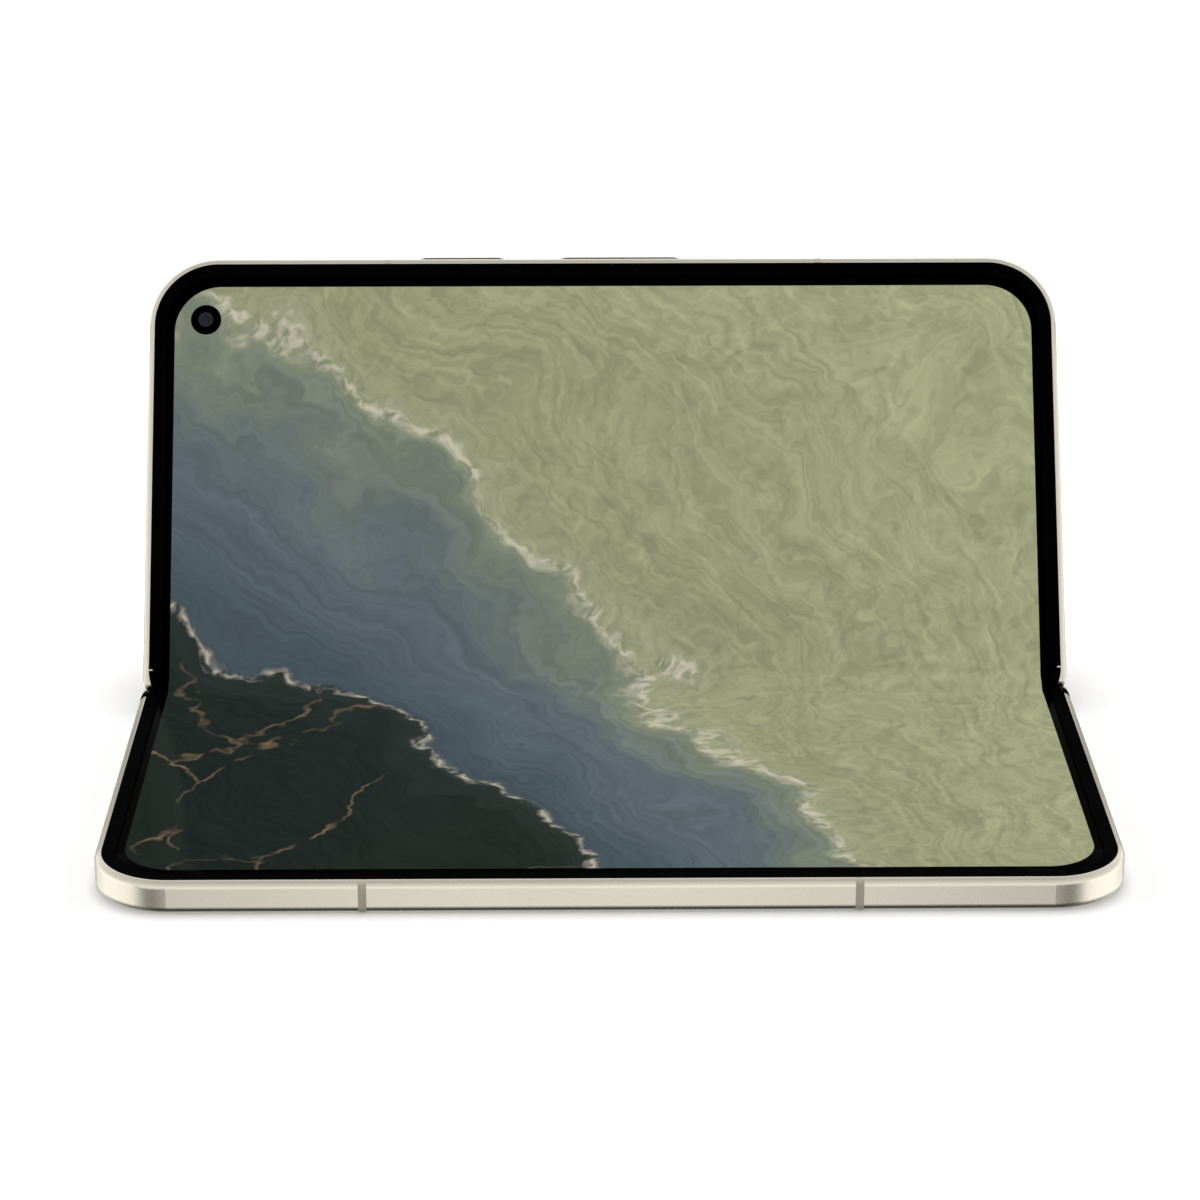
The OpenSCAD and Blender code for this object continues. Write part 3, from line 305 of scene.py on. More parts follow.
def flexibleDisplayFinish():
    # OLED under ultra-thin glass and a PET film, lit from within: soft gloss over the picture, black border
    tree = newFinish("ultraThinGlassDisplay", "#3C464A")
    uv = addNode(tree, "UVMap", {"uv_map": "picture"})
    place = addNode(tree, "VectorMath", {"operation": "SCALE", "Scale": 100.0}, {0: uv})
    active = insideRoundedBox(tree, place, picture["halfSize"], picture["cornerRadius"])
    fromCamera = addNode(tree, "VectorMath", {"operation": "DISTANCE", 1: picture["cameraSpot"]}, {0: place})
    hole, blur = picture["cameraHole"], picture["edgeBlur"]
    clear = addNode(tree, "MapRange", {"From Min": hole - blur, "From Max": hole + blur},
                    {"Value": fromCamera})
    shown = addNode(tree, "Math", {"operation": "MULTIPLY"}, {0: active, 1: clear})
    colour = addNode(tree, "Mix", {**asColours, 6: "#000000"}, {0: shown, 7: makePicture(tree, place)})
    dimmed = addNode(tree, "Mix", {**asProduct, 7: "#6A6A6A"}, {6: colour})
    # The film's faint unevenness, far below what the eye finds except in a reflection
    normal, _ = grainNormal(tree, place, grain=9.0, depth=0.0015, strength=0.3)
    surface = addNode(tree, "BsdfPrincipled", {
        "IOR": 1.5, "Roughness": 0.1, "Specular IOR Level": 0.004, "Emission Strength": picture["glow"],
    }, {"Base Color": dimmed, "Emission Color": colour, "Normal": normal})
    addNode(tree, "OutputMaterial", links={"Surface": surface})


flexibleDisplayFinish()


coverScreen = {
    "halfSize": (74.6, 34.0),
    "cornerRadius": 8.5,
    "centre": (0, -0.5, 0),
}


def coverGlassFinish():
    # Hardened glass over an unlit OLED, polished: deep black, the border a touch blacker than the screen
    tree = newFinish("polishedCoverGlass", "#08090A")
    place = placeInMm(tree)
    centred = addNode(tree, "VectorMath", {"operation": "SUBTRACT", 1: coverScreen["centre"]}, {0: place})
    screen = insideRoundedBox(tree, centred, coverScreen["halfSize"], coverScreen["cornerRadius"], 0.05)
    smears = addNode(tree, "TexNoise", {"Scale": 1 / 18, "Detail": 3.0}, {"Vector": place})
    gloss = addNode(tree, "MapRange", {"To Min": 0.03, "To Max": 0.09}, {"Value": smears})
    colour = addNode(tree, "Mix", {**asColours, 6: "#040404", 7: "#0B0D10"}, {0: screen})
    surface = addNode(tree, "BsdfPrincipled", {"IOR": 1.51}, {"Base Color": colour, "Roughness": gloss})
    addNode(tree, "OutputMaterial", links={"Surface": surface})


coverGlassFinish()


def circuitBoardFinish():
    # Glass-epoxy board, solder masked: dark green with brighter tracks 0.5 mm apart and pads
    tree = newFinish("maskedCircuitBoard", "#2F5A40")
    place = placeInMm(tree)
    tracks = addNode(tree, "TexBrick", {
        "Color1": "#2C5A3E", "Color2": "#356848", "Mortar": "#1E4230",
        "Scale": 1.0, "Mortar Size": 0.12, "Brick Width": 3.2, "Row Height": 0.5}, {"Vector": place})
    normal, _ = grainNormal(tree, place, grain=0.6, depth=0.02)
    surface = addNode(tree, "BsdfPrincipled", {"IOR": 1.55, "Roughness": 0.38},
                      {"Base Color": tracks, "Normal": normal})
    addNode(tree, "OutputMaterial", links={"Surface": surface})


circuitBoardFinish()


def woundCopperFinish():
    # Enamelled copper, wound flat: orange-brown rings 0.9 mm apart, each for three turns of thin wire
    tree = newFinish("enamelledCopper", "#A86A3C")
    place = placeInMm(tree)
    turns = addNode(tree, "TexWave", {
        "wave_type": "RINGS", "rings_direction": "SPHERICAL", "Scale": 0.35, "Distortion": 0.1},
        {"Vector": place})
    colour = addNode(tree, "ValToRGB", {"stops": [(0.2, "#8A522B"), (0.8, "#B87848")]}, {"Fac": turns})
    surface = addNode(tree, "BsdfPrincipled", {"Metallic": 0.9, "Roughness": 0.35}, {"Base Color": colour})
    addNode(tree, "OutputMaterial", links={"Surface": surface})


woundCopperFinish()


def lensGlassFinish():
    # Camera glass with an anti-glare coat: near black, with a painted reflection of the coat: green and
    # violet glints put into its colour towards its rim by the angle it is seen at
    tree = newFinish("coatedLensGlassPaintedGlint", "#0B0C12")
    paintedGlintFacing = addNode(tree, "LayerWeight", {"Blend": 0.35})
    # Painted reflection: the colour runs from near black face-on to green and violet glints where the glass
    # turns away from the eye
    colour = addNode(tree, "ValToRGB", {
        "stops": [(0.0, "#04050A"), (0.35, "#0A1226"), (0.7, "#1D1836"), (1.0, "#1F3A33")]},
        {"Fac": paintedGlintFacing.outputs["Facing"]})
    surface = addNode(tree, "BsdfPrincipled", {"IOR": 1.6, "Roughness": 0.03, "Specular Tint": "#9FA8E0"},
                      {"Base Color": colour})
    addNode(tree, "OutputMaterial", links={"Surface": surface})


lensGlassFinish()


def flashFinish():
    # Silicone with yellow phosphor behind a moulded ring lens: pale yellow, ribbed
    tree = newFinish("phosphorSilicone", "#EFE9D2")
    place = placeInMm(tree)
    specks = addNode(tree, "TexNoise", {"Scale": 1 / 0.4, "Detail": 2.0}, {"Vector": place})
    colour = addNode(tree, "ValToRGB", {"stops": [(0.35, "#E9DFAF"), (0.65, "#F3EEDC")]}, {"Fac": specks})
    surface = addNode(tree, "BsdfPrincipled", {
        "IOR": 1.41, "Roughness": 0.25, "Subsurface Weight": 0.2, "Subsurface Scale": 0.5 * mm},
        {"Base Color": colour})
    addNode(tree, "OutputMaterial", links={"Surface": surface})


flashFinish()


def speakerMeshFinish():
    # Steel wire cloth, blackened: woven squares 0.3 mm apart
    tree = newFinish("wovenSteelCloth", "#1A1B1D")
    place = placeInMm(tree)
    weave = addNode(tree, "TexBrick", {
        "Color1": "#34363A", "Color2": "#2B2D30", "Mortar": "#08090A",
        "Scale": 1.0, "Mortar Size": 0.07, "Brick Width": 0.3, "Row Height": 0.3}, {"Vector": place})
    normal, _ = grainNormal(tree, place, grain=0.3, depth=0.03)
    surface = addNode(tree, "BsdfPrincipled", {"Metallic": 0.8, "Roughness": 0.45},
                      {"Base Color": weave, "Normal": normal})
    addNode(tree, "OutputMaterial", links={"Surface": surface})


speakerMeshFinish()


finishOfNodes = {
    "blastedChampagneAluminium": ["base_frame", "lid_frame", "card_tray", "camera_island", "power_button",
                                  "volume_rocker"],
    "polishedChampagneAluminium": ["hinge_spine"],
    "antennaResin": ["base_antenna_breaks", "lid_antenna_breaks"],
    "blackLipAndPaintedShade": ["base_bezel", "lid_bezel", "base_hinge_seals", "lid_hinge_seals"],
    "satinRearGlass": ["rear_glass"],
    "polishedCoverGlass": ["cover_glass", "camera_window"],
    "turnedBlackAluminium": ["lens_rings", "main_camera", "wide_camera", "tele_camera", "cover_camera",
                             "inner_camera"],
    "stampedStainlessSteel": ["charging_socket", "main_board_shield", "base_board_shield", "card_reader",
                              "base_support_plate", "lid_support_plate", "hinge_shafts"],
    "sinteredSteel": ["hinge_brackets", "base_hinge_arms", "lid_hinge_arms", "base_side_idlers",
                      "lid_side_idlers", "bracket_screws", "base_arm_screws", "lid_arm_screws"],
    "punchedBronze": ["friction_washers"],
    "nickelPlate": ["base_magnets", "lid_magnets", "vibration_motor"],
    "pouchWrap": ["base_battery", "lid_battery"],
    "polyimideFilm": ["key_board"],
    "glassFilledNylon": ["spine_end_caps", "base_speaker", "lid_speaker", "earpiece"],
    "displayLaminate": ["cover_display", "display_fold", "base_display_panel", "lid_display_panel"],
    "maskedCircuitBoard": ["base_board", "main_board"],
    "enamelledCopper": ["charging_coil"],
    "phosphorSilicone": ["flash_lens"],
}
for finishName, nodeNames in finishOfNodes.items():
    for nodeName in nodeNames:
        nodes[nodeName].data.materials.clear()
        nodes[nodeName].data.materials.append(finishes[finishName])
dressed = {name for names in finishOfNodes.values() for name in names}
print("finishes:", len(finishes), "CAD nodes left plain:", sorted(set(nodes) - dressed))


def meshOf(name, points, faces):
    # A mesh from points in mm and lists of corners
    mesh = bpy.data.meshes.new(name)
    mesh.from_pydata([metres(p) for p in points], [], faces)
    return mesh


def asPiece(name, mesh, finish, smoothAngle=35, weld=True):
    # Welds points that coincide, turns the faces outward and smooths them up to smoothAngle
    work = bmesh.new()
    work.from_mesh(mesh)
    if weld:
        bmesh.ops.remove_doubles(work, verts=work.verts, dist=0.0001 * mm)
    bmesh.ops.recalc_face_normals(work, faces=work.faces)
    work.to_mesh(mesh)
    work.free()
    mesh.shade_smooth()
    mesh.set_sharp_from_angle(angle=math.radians(smoothAngle))
    mesh.materials.append(finishes[finish])
    piece = bpy.data.objects.new(name, mesh)
    bpy.context.scene.collection.objects.link(piece)
    return piece


def bodyPiece(name, points, faces, finish, body, smoothAngle=35):
    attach(asPiece(name, meshOf(name, points, faces), finish, smoothAngle), body)


def ringFaces(first, second):
    # The faces between two closed rings of as many points
    n = len(first)
    return [(first[j], first[(j + 1) % n], second[(j + 1) % n], second[j]) for j in range(n)]


display = {
    "inset": 2.6,
    "cornerRadius": 9.2,
    "topZ": 4.85,
    "thickness": 0.45,
    "edgeRound": 0.08,
    "bendStart": 4.4,
    "bendRows": 22,
    "flatRows": (5.5, 8, 12, 18, 26, 36, 46, 56),
    "cornerRows": 20,
    "columns": 12,
    "solveSteps": 40,
}


def smoothShare(t):
    # The easing by which a point turns between its two ends
    t = min(max(t, 0.0), 1.0)
    return t * t * (3 - 2 * t)


lidAxis = turnedAbout((0, *flatLidAxis), *baseAxis, halfTurn)[1:]
foldCentre = spineSpot(0, 0, display["topZ"])
bendEnds = {
    "lower": (baseSpot(0, display["bendStart"], display["topZ"]), foldCentre),
    "upper": (foldCentre, lidSpot(0, display["bendStart"], display["topZ"])),
}


def standingSpot(half, x, v, z):
    # Where a point of the opened-out flat display stands at rest. Each point is turned by its own share of
    # the hinge, and that share is solved for from the easing along the bend
    start, end = (Vector(p) for p in bendEnds[half])
    run = end - start
    if half == "lower":
        flat, axis = baseSpot(0, v, z), baseAxis
    else:
        flat, axis = spineSpot(0, v, z), lidAxis
    low, high = 0.0, 1.0
    for _ in range(display["solveSteps"]):
        share = (low + high) / 2
        spot = turnedAbout(flat, *axis, share * halfTurn)
        if smoothShare((Vector(spot) - start).dot(run) / run.length_squared) > share:
            low = share
        else:
            high = share
    spot = turnedAbout(flat, *axis, (low + high) / 2 * halfTurn)
    return (x, spot[1], spot[2])


def displayHalf(half):
    halfLength = phone["halfDepth"] - display["inset"]
    halfWidth = phone["width"] / 2 - display["inset"]
    radius = display["cornerRadius"]
    rows = [display["bendStart"] * i / display["bendRows"] for i in range(display["bendRows"] + 1)]
    rows += list(display["flatRows"])
    outline = [(v, halfWidth) for v in rows]
    for i in range(display["cornerRows"] + 1):
        turn = math.pi / 2 * i / display["cornerRows"]
        outline.append((halfLength - radius + radius * math.sin(turn),
                        halfWidth - radius + radius * math.cos(turn)))
    # Each layer: depth below the top and how far it is drawn in from the edge
    edge, thickness, columns = display["edgeRound"], display["thickness"], display["columns"]
    layers = [(0.0, edge), (0.3 * edge, 0.3 * edge), (edge, 0.0), (thickness - edge, 0.0), (thickness, edge)]
    points, flatSpots = [], []

    def addPoint(x, v, z):
        points.append(standingSpot(half, x, v, z))
        flatSpots.append((x, v))
        return len(points) - 1

    rings = []
    for depth, drawnIn in layers:
        ring = []
        for v, w in outline:
            spot = (min(v, halfLength - drawnIn), display["topZ"] - depth)
            ring.append((addPoint(drawnIn - w, *spot), addPoint(w - drawnIn, *spot)))
        rings.append(ring)
    faces = []
    for upper, lower in zip(rings, rings[1:]):
        for (a0, b0), (a1, b1), (c0, d0), (c1, d1) in zip(upper, upper[1:], lower, lower[1:]):
            faces += [(a0, a1, c1, c0), (b0, d0, d1, b1)]
        faces += [(upper[-1][0], upper[-1][1], lower[-1][1], lower[-1][0]),
                  (upper[0][0], lower[0][0], lower[0][1], upper[0][1])]
    # Faces across the top and the bottom, in columns so that they bend and shade evenly
    for ring, depth in ((rings[0], 0.0), (rings[-1], thickness)):
        lines = []
        for left, right in ring:
            x0, x1, v = flatSpots[left][0], flatSpots[right][0], flatSpots[left][1]
            inner = [addPoint(x0 + (x1 - x0) * j / columns, v, display["topZ"] - depth)
                     for j in range(1, columns)]
            lines.append([left, *inner, right])
        for line, following in zip(lines, lines[1:]):
            faces += [(line[j], line[j + 1], following[j + 1], following[j]) for j in range(columns)]
    return points, faces, flatSpots


def makeDisplay(name, half, replaced):
    points, faces, flatSpots = displayHalf(half)
    mesh = meshOf(name, points, faces)
    # Picture coordinates in 0.1 m along the width and outward from the fold, positive on the upper half
    side = -1 if half == "lower" else 1
    pictureMap = mesh.uv_layers.new(name="picture")
    for loop in mesh.loops:
        x, v = flatSpots[loop.vertex_index]
        pictureMap.data[loop.index].uv = (x / 100, side * v / 100)
    piece = asPiece(name, mesh, "ultraThinGlassDisplay", 40, weld=False)
    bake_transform(piece)
    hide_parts(*replaced)


makeDisplay("innerDisplayLower", "lower", ("base_display_panel", "display_fold"))
makeDisplay("innerDisplayUpper", "upper", ("lid_display_panel",))
print("display: two halves that bend across the fold")


def turnedPiece(name, profile, spot, finish, body, steps, smoothAngle):
    # A turned piece: profile is (radius, height) in mm from the bottom of its axis up; spot places (x, v, z)
    points, faces, previous = [], [], None
    for radius, height in profile:
        if radius < 1e-6:
            ring = [len(points)] * steps
            points.append(spot(0, 0, height))
        else:
            ring = list(range(len(points), len(points) + steps))
            turns = [2 * math.pi * i / steps for i in range(steps)]
            points += [spot(radius * math.cos(t), radius * math.sin(t), height) for t in turns]
        if previous:
            faces += [list(dict.fromkeys(corners)) for corners in ringFaces(previous, ring)]
        previous = ring
    bodyPiece(name, points, faces, finish, body, smoothAngle)


lip = {
    "section": [(1.02, 5.06), (1.04, 5.105), (1.1, 5.125), (1.3, 5.125), (1.36, 5.1), (1.36, 5.06)],
    "startV": 4.86,
    "cornerSteps": 24,
    "coverFrom": 1.02,
    "coverTo": 2.58,
    "coverV": (4.42, 4.96),
    "coverZ": (4.72, 5.125),
    "coverBevel": 0.04,
    "tickFrom": 0.9,
    "tickTo": 1.65,
    "tickV": {"base": (4.4, 4.7), "lid": (3.75, 4.05)},
    "tickZ": (4.6, 5.11),
    "tickBevel": 0.05,
}


def rimOutline(inset, startV):
    # A U along the sides and the front edge, inset from the outside, as (x, v)
    radius = phone["cornerRadius"] - inset
    middleX = phone["width"] / 2 - phone["cornerRadius"]
    middleV = phone["halfDepth"] - phone["cornerRadius"]
    turns = [math.pi / 2 * i / lip["cornerSteps"] for i in range(lip["cornerSteps"] + 1)]
    right = [(middleX + radius * math.cos(t), middleV + radius * math.sin(t)) for t in turns]
    right.insert(0, (middleX + radius, startV))
    return right + [(-x, v) for x, v in reversed(right)]


def sweptStrip(name, lines, spot, finish, body, smoothAngle=35):
    # Lines of (x, v, z) that run side by side around a closed section, an even number of them
    points = [spot(*p) for line in lines for p in line]
    rings = [range(j, len(points), len(lines[0])) for j in range(len(lines[0]))]
    faces = []
    for first, second in zip(rings, rings[1:]):
        faces += ringFaces(first, second)
    for ring in (rings[0], rings[-1]):
        faces += [(ring[i], ring[i + 1], ring[-2 - i], ring[-1 - i]) for i in range(len(lines) // 2 - 1)]
    bodyPiece(name, points, faces, finish, body, smoothAngle)


def block(x0, x1, v0, v1, z0, z1, bevel):
    # Points and faces of a small block whose top edges are bevelled, as (x, v, z)
    points = [(x, v, z0) for x, v in ((x0, v0), (x1, v0), (x1, v1), (x0, v1))]
    points += [(x, v, z1 - bevel) for x, v in ((x0, v0), (x1, v0), (x1, v1), (x0, v1))]
    points += [(x, v, z1) for x, v in ((x0 + bevel, v0 + bevel), (x1 - bevel, v0 + bevel),
                                       (x1 - bevel, v1 - bevel), (x0 + bevel, v1 - bevel))]
    faces = [(0, 3, 2, 1), (8, 9, 10, 11)]
    for low in (0, 4):
        faces += ringFaces(range(low, low + 4), range(low + 4, low + 8))
    return points, faces


def blocksPiece(name, blocks, spot, finish, body):
    # Several small blocks as one piece
    points, faces = [], []
    for spots, corners in blocks:
        faces += [[c + len(points) for c in face] for face in corners]
        points += [spot(*p) for p in spots]
    bodyPiece(name, points, faces, finish, body)


def sideBlocks(start, end, vRange, zRange, bevel):
    # A block at each side of the phone, from start to end mm in from its outside
    blocks = []
    for side in (-1, 1):
        reach = sorted(side * (phone["width"] / 2 - inset) for inset in (start, end))
        blocks.append(block(*reach, *vRange, *zRange, bevel))
    return blocks


for body, spot in (("base", baseSpot), ("lid", lidSpot)):
    strips = [[(x, v, z) for x, v in rimOutline(inset, lip["startV"])] for inset, z in lip["section"]]
    sweptStrip(body + "LipBead", strips, spot, "blackLipAndPaintedShade", body)
    covers = sideBlocks(lip["coverFrom"], lip["coverTo"], lip["coverV"], lip["coverZ"], lip["coverBevel"])
    blocksPiece(body + "LipEnds", covers, spot, "blackLipAndPaintedShade", body)
    ticks = sideBlocks(lip["tickFrom"], lip["tickTo"], lip["tickV"][body], lip["tickZ"], lip["tickBevel"])
    blocksPiece(body + "LipTicks", ticks, spot, "blastedChampagneAluminium", body)
print("lip: beads, ends and ticks on both halves")

# The frame's wall curls in by curlInset over its last curlLength mm; the black skin follows it over the edge
# and round the hinge's barrel, and is proud of both. The skin is partly a black end at the hinge and partly
# painted shade over the curled metal, where it turns away from the light
ears = {
    "curlLength": 3.2,
    "curlInset": 1.0,
    "edgeRadius": 1.1,
    "endRadius": 2.14,
    "skin": 0.1,
    "outward": 0.05,
    "above": 0.04,
    "firstTurn": -25,
    "lastV": 4.36,
    "insets": (0.0, 0.04, 0.12, 0.25, 0.42, 0.62, 0.86, 1.12),
    "arcSteps": 9,
    "flatSteps": 6,
}


def earLayer(side, deep):
    # One skin of an ear, deep mm inside the outer one: lines round the hinge end and along the top
    curlRadius = (ears["curlLength"] ** 2 + ears["curlInset"] ** 2) / (2 * ears["curlInset"])
    reach = ears["endRadius"] - deep
    firstTurn = math.radians(ears["firstTurn"])
    lines = []
    for inset in ears["insets"]:
        short = max(0.0, ears["edgeRadius"] - inset)
        drop = ears["edgeRadius"] - math.sqrt(max(0.0, ears["edgeRadius"] ** 2 - short ** 2))
        top = phone["thickness"] + ears["above"] - drop - deep
        lastTurn = math.asin(min(1.0, (top - phone["axisHeight"]) / reach))
        spots = []
        for i in range(ears["arcSteps"] + 1):
            turn = firstTurn + (lastTurn - firstTurn) * i / ears["arcSteps"]
            spots.append((phone["axisOffset"] - reach * math.cos(turn),
                          phone["axisHeight"] + reach * math.sin(turn)))
        startV = spots[-1][0]
        spots += [(startV + (ears["lastV"] - startV) * i / ears["flatSteps"], top)
                  for i in range(1, ears["flatSteps"] + 1)]
        outward = ears["outward"] - (deep if inset == 0 else 0.0)
        line = []
        for v, z in spots:
            curl = curlRadius - math.sqrt(curlRadius ** 2 - max(0.0, ears["curlLength"] - v) ** 2)
            line.append((side * (phone["width"] / 2 - curl - inset + outward), v, z))
        lines.append(line)
    return lines


# Painted shade, in part: black skins over the base's curled hinge ends, where the metal falls into shadow
for name, side in (("baseEarLeft", -1), ("baseEarRight", 1)):
    skins = earLayer(side, 0.0) + earLayer(side, ears["skin"])[::-1]
    sweptStrip(name, skins, baseSpot, "blackLipAndPaintedShade", "base", 50)
print("ears: black skins over the base's hinge ends")


def raisedOn(middleX, middleV, level, way, place):
    # Turns (a, b, height) of a turned piece into a spot on a face at this level; way is +1 up or -1 down
    return lambda a, b, height: place(middleX + a, middleV + b, level + way * height)


# Profiles are (radius, height) in mm, from the outside to the middle
innerCamera = {
    "spot": (-67.9, 64.4, 4.85),
    "ring": [(0.62, 0.0), (0.64, 0.02), (0.9, 0.026), (1.2, 0.02), (1.26, 0.0)],
    "pupil": [(0.6, 0.0), (0.58, 0.02), (0.42, 0.035), (0.2, 0.043), (0.0, 0.045)],
}
innerSpot = raisedOn(*innerCamera["spot"], 1, lidSpot)
turnedPiece("innerCameraRing", innerCamera["ring"], innerSpot, "darkLensSurround", "lid", 48, 35)
turnedPiece("innerCameraPupil", innerCamera["pupil"], innerSpot, "coatedLensGlassPaintedGlint", "lid", 40, 60)

rearCameras = {
    "names": ("main", "wide", "tele"),
    "x": (-57.6, -40.6, -23.6),
    "v": 55.6,
    "z": -2.55,
    "pupil": (2.7, 2.4, 2.1),
    "brim": [(5.3, 0.0), (5.3, 0.34), (5.1, 0.34), (4.9, 0.29), (4.7, 0.29)],
    "throat": 4.7,
    "stepCount": 3,
    "stepTop": 0.24,
    "stepDrop": 0.06,
    "stepSlope": 0.02,
    "stepRound": 0.05,
    "lastStep": 0.2,
    "seat": 0.15,
    "seatHeight": 0.02,
    "domeFoot": 0.12,
    "domeEdge": 0.1,
    "domeStart": 0.05,
    "domeHeight": 0.22,
    "domeSteps": 8,
}


def funnelProfile(pupil):
    # A stepped black funnel down to the front lens
    step = (rearCameras["throat"] - pupil - rearCameras["lastStep"]) / rearCameras["stepCount"]
    profile = list(rearCameras["brim"])
    for i in range(rearCameras["stepCount"]):
        outer = rearCameras["throat"] - i * step
        top = rearCameras["stepTop"] - i * rearCameras["stepDrop"]
        profile += [(outer - rearCameras["stepRound"], top), (outer - step, top - rearCameras["stepSlope"])]
    seat = pupil + rearCameras["seat"]
    return profile + [(seat, rearCameras["seatHeight"]), (seat, 0.0)]


def domeProfile(pupil):
    edge = pupil + rearCameras["domeEdge"]
    start, height = rearCameras["domeStart"], rearCameras["domeHeight"]
    turns = [math.pi / 2 * i / rearCameras["domeSteps"] for i in range(1, rearCameras["domeSteps"])]
    profile = [(pupil + rearCameras["domeFoot"], 0.0), (edge, start)]
    profile += [(edge * math.cos(t), start + height * math.sin(t)) for t in turns]
    return profile + [(0.0, start + height)]


for name, x, pupil in zip(rearCameras["names"], rearCameras["x"], rearCameras["pupil"]):
    rearSpot = raisedOn(x, rearCameras["v"], rearCameras["z"], -1, lidSpot)
    turnedPiece(name + "LensFunnel", funnelProfile(pupil), rearSpot, "mattBlackBaffle", "lid", 72, 30)
    turnedPiece(name + "LensDome", domeProfile(pupil), rearSpot, "coatedLensGlassPaintedGlint", "lid", 64, 60)

flash = {
    "spot": (-13.1, 55.6, -2.55),
    "outside": [(1.95, 0.0), (1.93, 0.03)],
    "middle": [(0.12, 0.03), (0.0, 0.06)],
    "ribs": (1.65, 1.25, 0.85, 0.45),
    # One rib about its radius: a slope, a crest and a steep side
    "ribProfile": [(0.14, 0.03), (0.02, 0.1), (-0.12, 0.03)],
}
ribs = [(rib + across, height) for rib in flash["ribs"] for across, height in flash["ribProfile"]]
turnedPiece("flashRibs", flash["outside"] + ribs + flash["middle"], raisedOn(*flash["spot"], -1, lidSpot),
            "phosphorSilicone", "lid", 48, 20)

coverCamera = {
    "spot": (-69.6, 37.55, 0.02),
    "lens": [(1.45, -0.08), (1.4, -0.03), (1.0, -0.01), (0.0, 0.0)],
}
turnedPiece("coverCameraLens", coverCamera["lens"], raisedOn(*coverCamera["spot"], -1, baseSpot),
            "coatedLensGlassPaintedGlint", "base", 40, 60)
print("cameras: lenses, baffles and flash ribs")

keys = {
    "outside": 75.1,
    "z": 2.55,
    "height": 1.9,
    "gap": 0.06,
    "proud": 0.34,
    "sunk": 0.1,
    # Across the seal, a black ring of painted shade for the gap round the key: how far out from the key, and
    # how far below its top; None is sunk into the wall
    "section": [(0.0, None), (0.0, 0.0), (0.5, 0.06), (0.54, None)],
    "steps": 48,
    "powerButton": (-24.2, 13.7),
    "volumeRocker": (2.9, 19.7),
}

# Painted shade: black rings round the power button and the rocker stand for the shadow in the gaps at the
# keys' ends
for name in ("powerButton", "volumeRocker"):
    middle, length = keys[name]
    steps = keys["steps"]
    points, faces = [], []
    for grow, below in keys["section"]:
        out = -keys["sunk"] if below is None else keys["proud"] - below
        radius = keys["height"] / 2 + keys["gap"] + grow * 0.5
        reach = length / 2 - keys["height"] / 2 + grow * 0.5
        for i in range(steps):
            turn = 2 * math.pi * (i + 0.5) / steps
            side = reach if math.cos(turn) > 0 else -reach
            points.append(lidSpot(middle + side + radius * math.cos(turn), keys["outside"] + out,
                                  keys["z"] + radius * math.sin(turn)))
    lines = len(keys["section"])
    rings = [range(steps * i, steps * (i + 1)) for i in range(lines)]
    for i in range(lines):
        faces += ringFaces(rings[i], rings[(i + 1) % lines])
    bodyPiece(name + "GapShadeSeal", points, faces, "blackLipAndPaintedShade", "lid")
print("keys: black seals round the power button and the rocker")

# Contacts on both faces of the socket's tongue
socket = {
    "x": 77.3,
    "v": 37.5,
    "z": 2.35,
    "tongueStart": 2.0,
    "tongueThickness": 0.7,
    "count": 12,
    "pitch": 0.5,
    "width": 0.26,
    "inset": 0.25,
    "length": 2.6,
    # These carry the current and are longer
    "long": (0, 3, 8, 11),
    "longShare": 1.25,
    "sunk": 0.02,
    "proud": 0.03,
    "bevel": 0.008,
}

contacts = []
for i in range(socket["count"]):
    v = socket["v"] + (i - (socket["count"] - 1) / 2) * socket["pitch"]
    x1 = socket["x"] - socket["tongueStart"] - socket["inset"]
    x0 = x1 - socket["length"] * (socket["longShare"] if i in socket["long"] else 1.0)
    for side in (-1, 1):
        face = socket["z"] + side * socket["tongueThickness"] / 2
        low, high = sorted((face - side * socket["sunk"], face + side * socket["proud"]))
        contacts.append(block(x0, x1, v - socket["width"] / 2, v + socket["width"] / 2, low, high,
                              socket["bevel"]))
blocksPiece("socketContacts", contacts, lidSpot, "goldPlatedContact", "lid")

# Cloth behind the rows of loudspeaker holes
speakers = {
    "side": {"base": -1, "lid": 1},
    "firstV": {"base": 30.05, "lid": 48.0},
    "holes": 6,
    "pitch": 2.4,
    "z": 2.55,
    "clothRadius": 0.5,
    "clothDepth": 0.7,
    "clothThickness": 0.05,
    "steps": 20,
}

for body, spot in (("base", baseSpot), ("lid", lidSpot)):
    side, steps, radius = speakers["side"][body], speakers["steps"], speakers["clothRadius"]
    points, faces = [], []
    for i in range(speakers["holes"]):
        v = speakers["firstV"][body] + i * speakers["pitch"]
        rings = []
        for depth in (0.0, speakers["clothThickness"]):
            x = side * (phone["width"] / 2 - speakers["clothDepth"] - depth)
            rings.append(range(len(points), len(points) + steps))
            for turn in (2 * math.pi * j / steps for j in range(steps)):
                points.append(spot(x, v + radius * math.cos(turn), speakers["z"] + radius * math.sin(turn)))
        faces += [*rings, *ringFaces(*rings)]
    bodyPiece(body + "SpeakerCloth", points, faces, "wovenSteelCloth", body)
print("ports: gold contacts and speaker cloth")


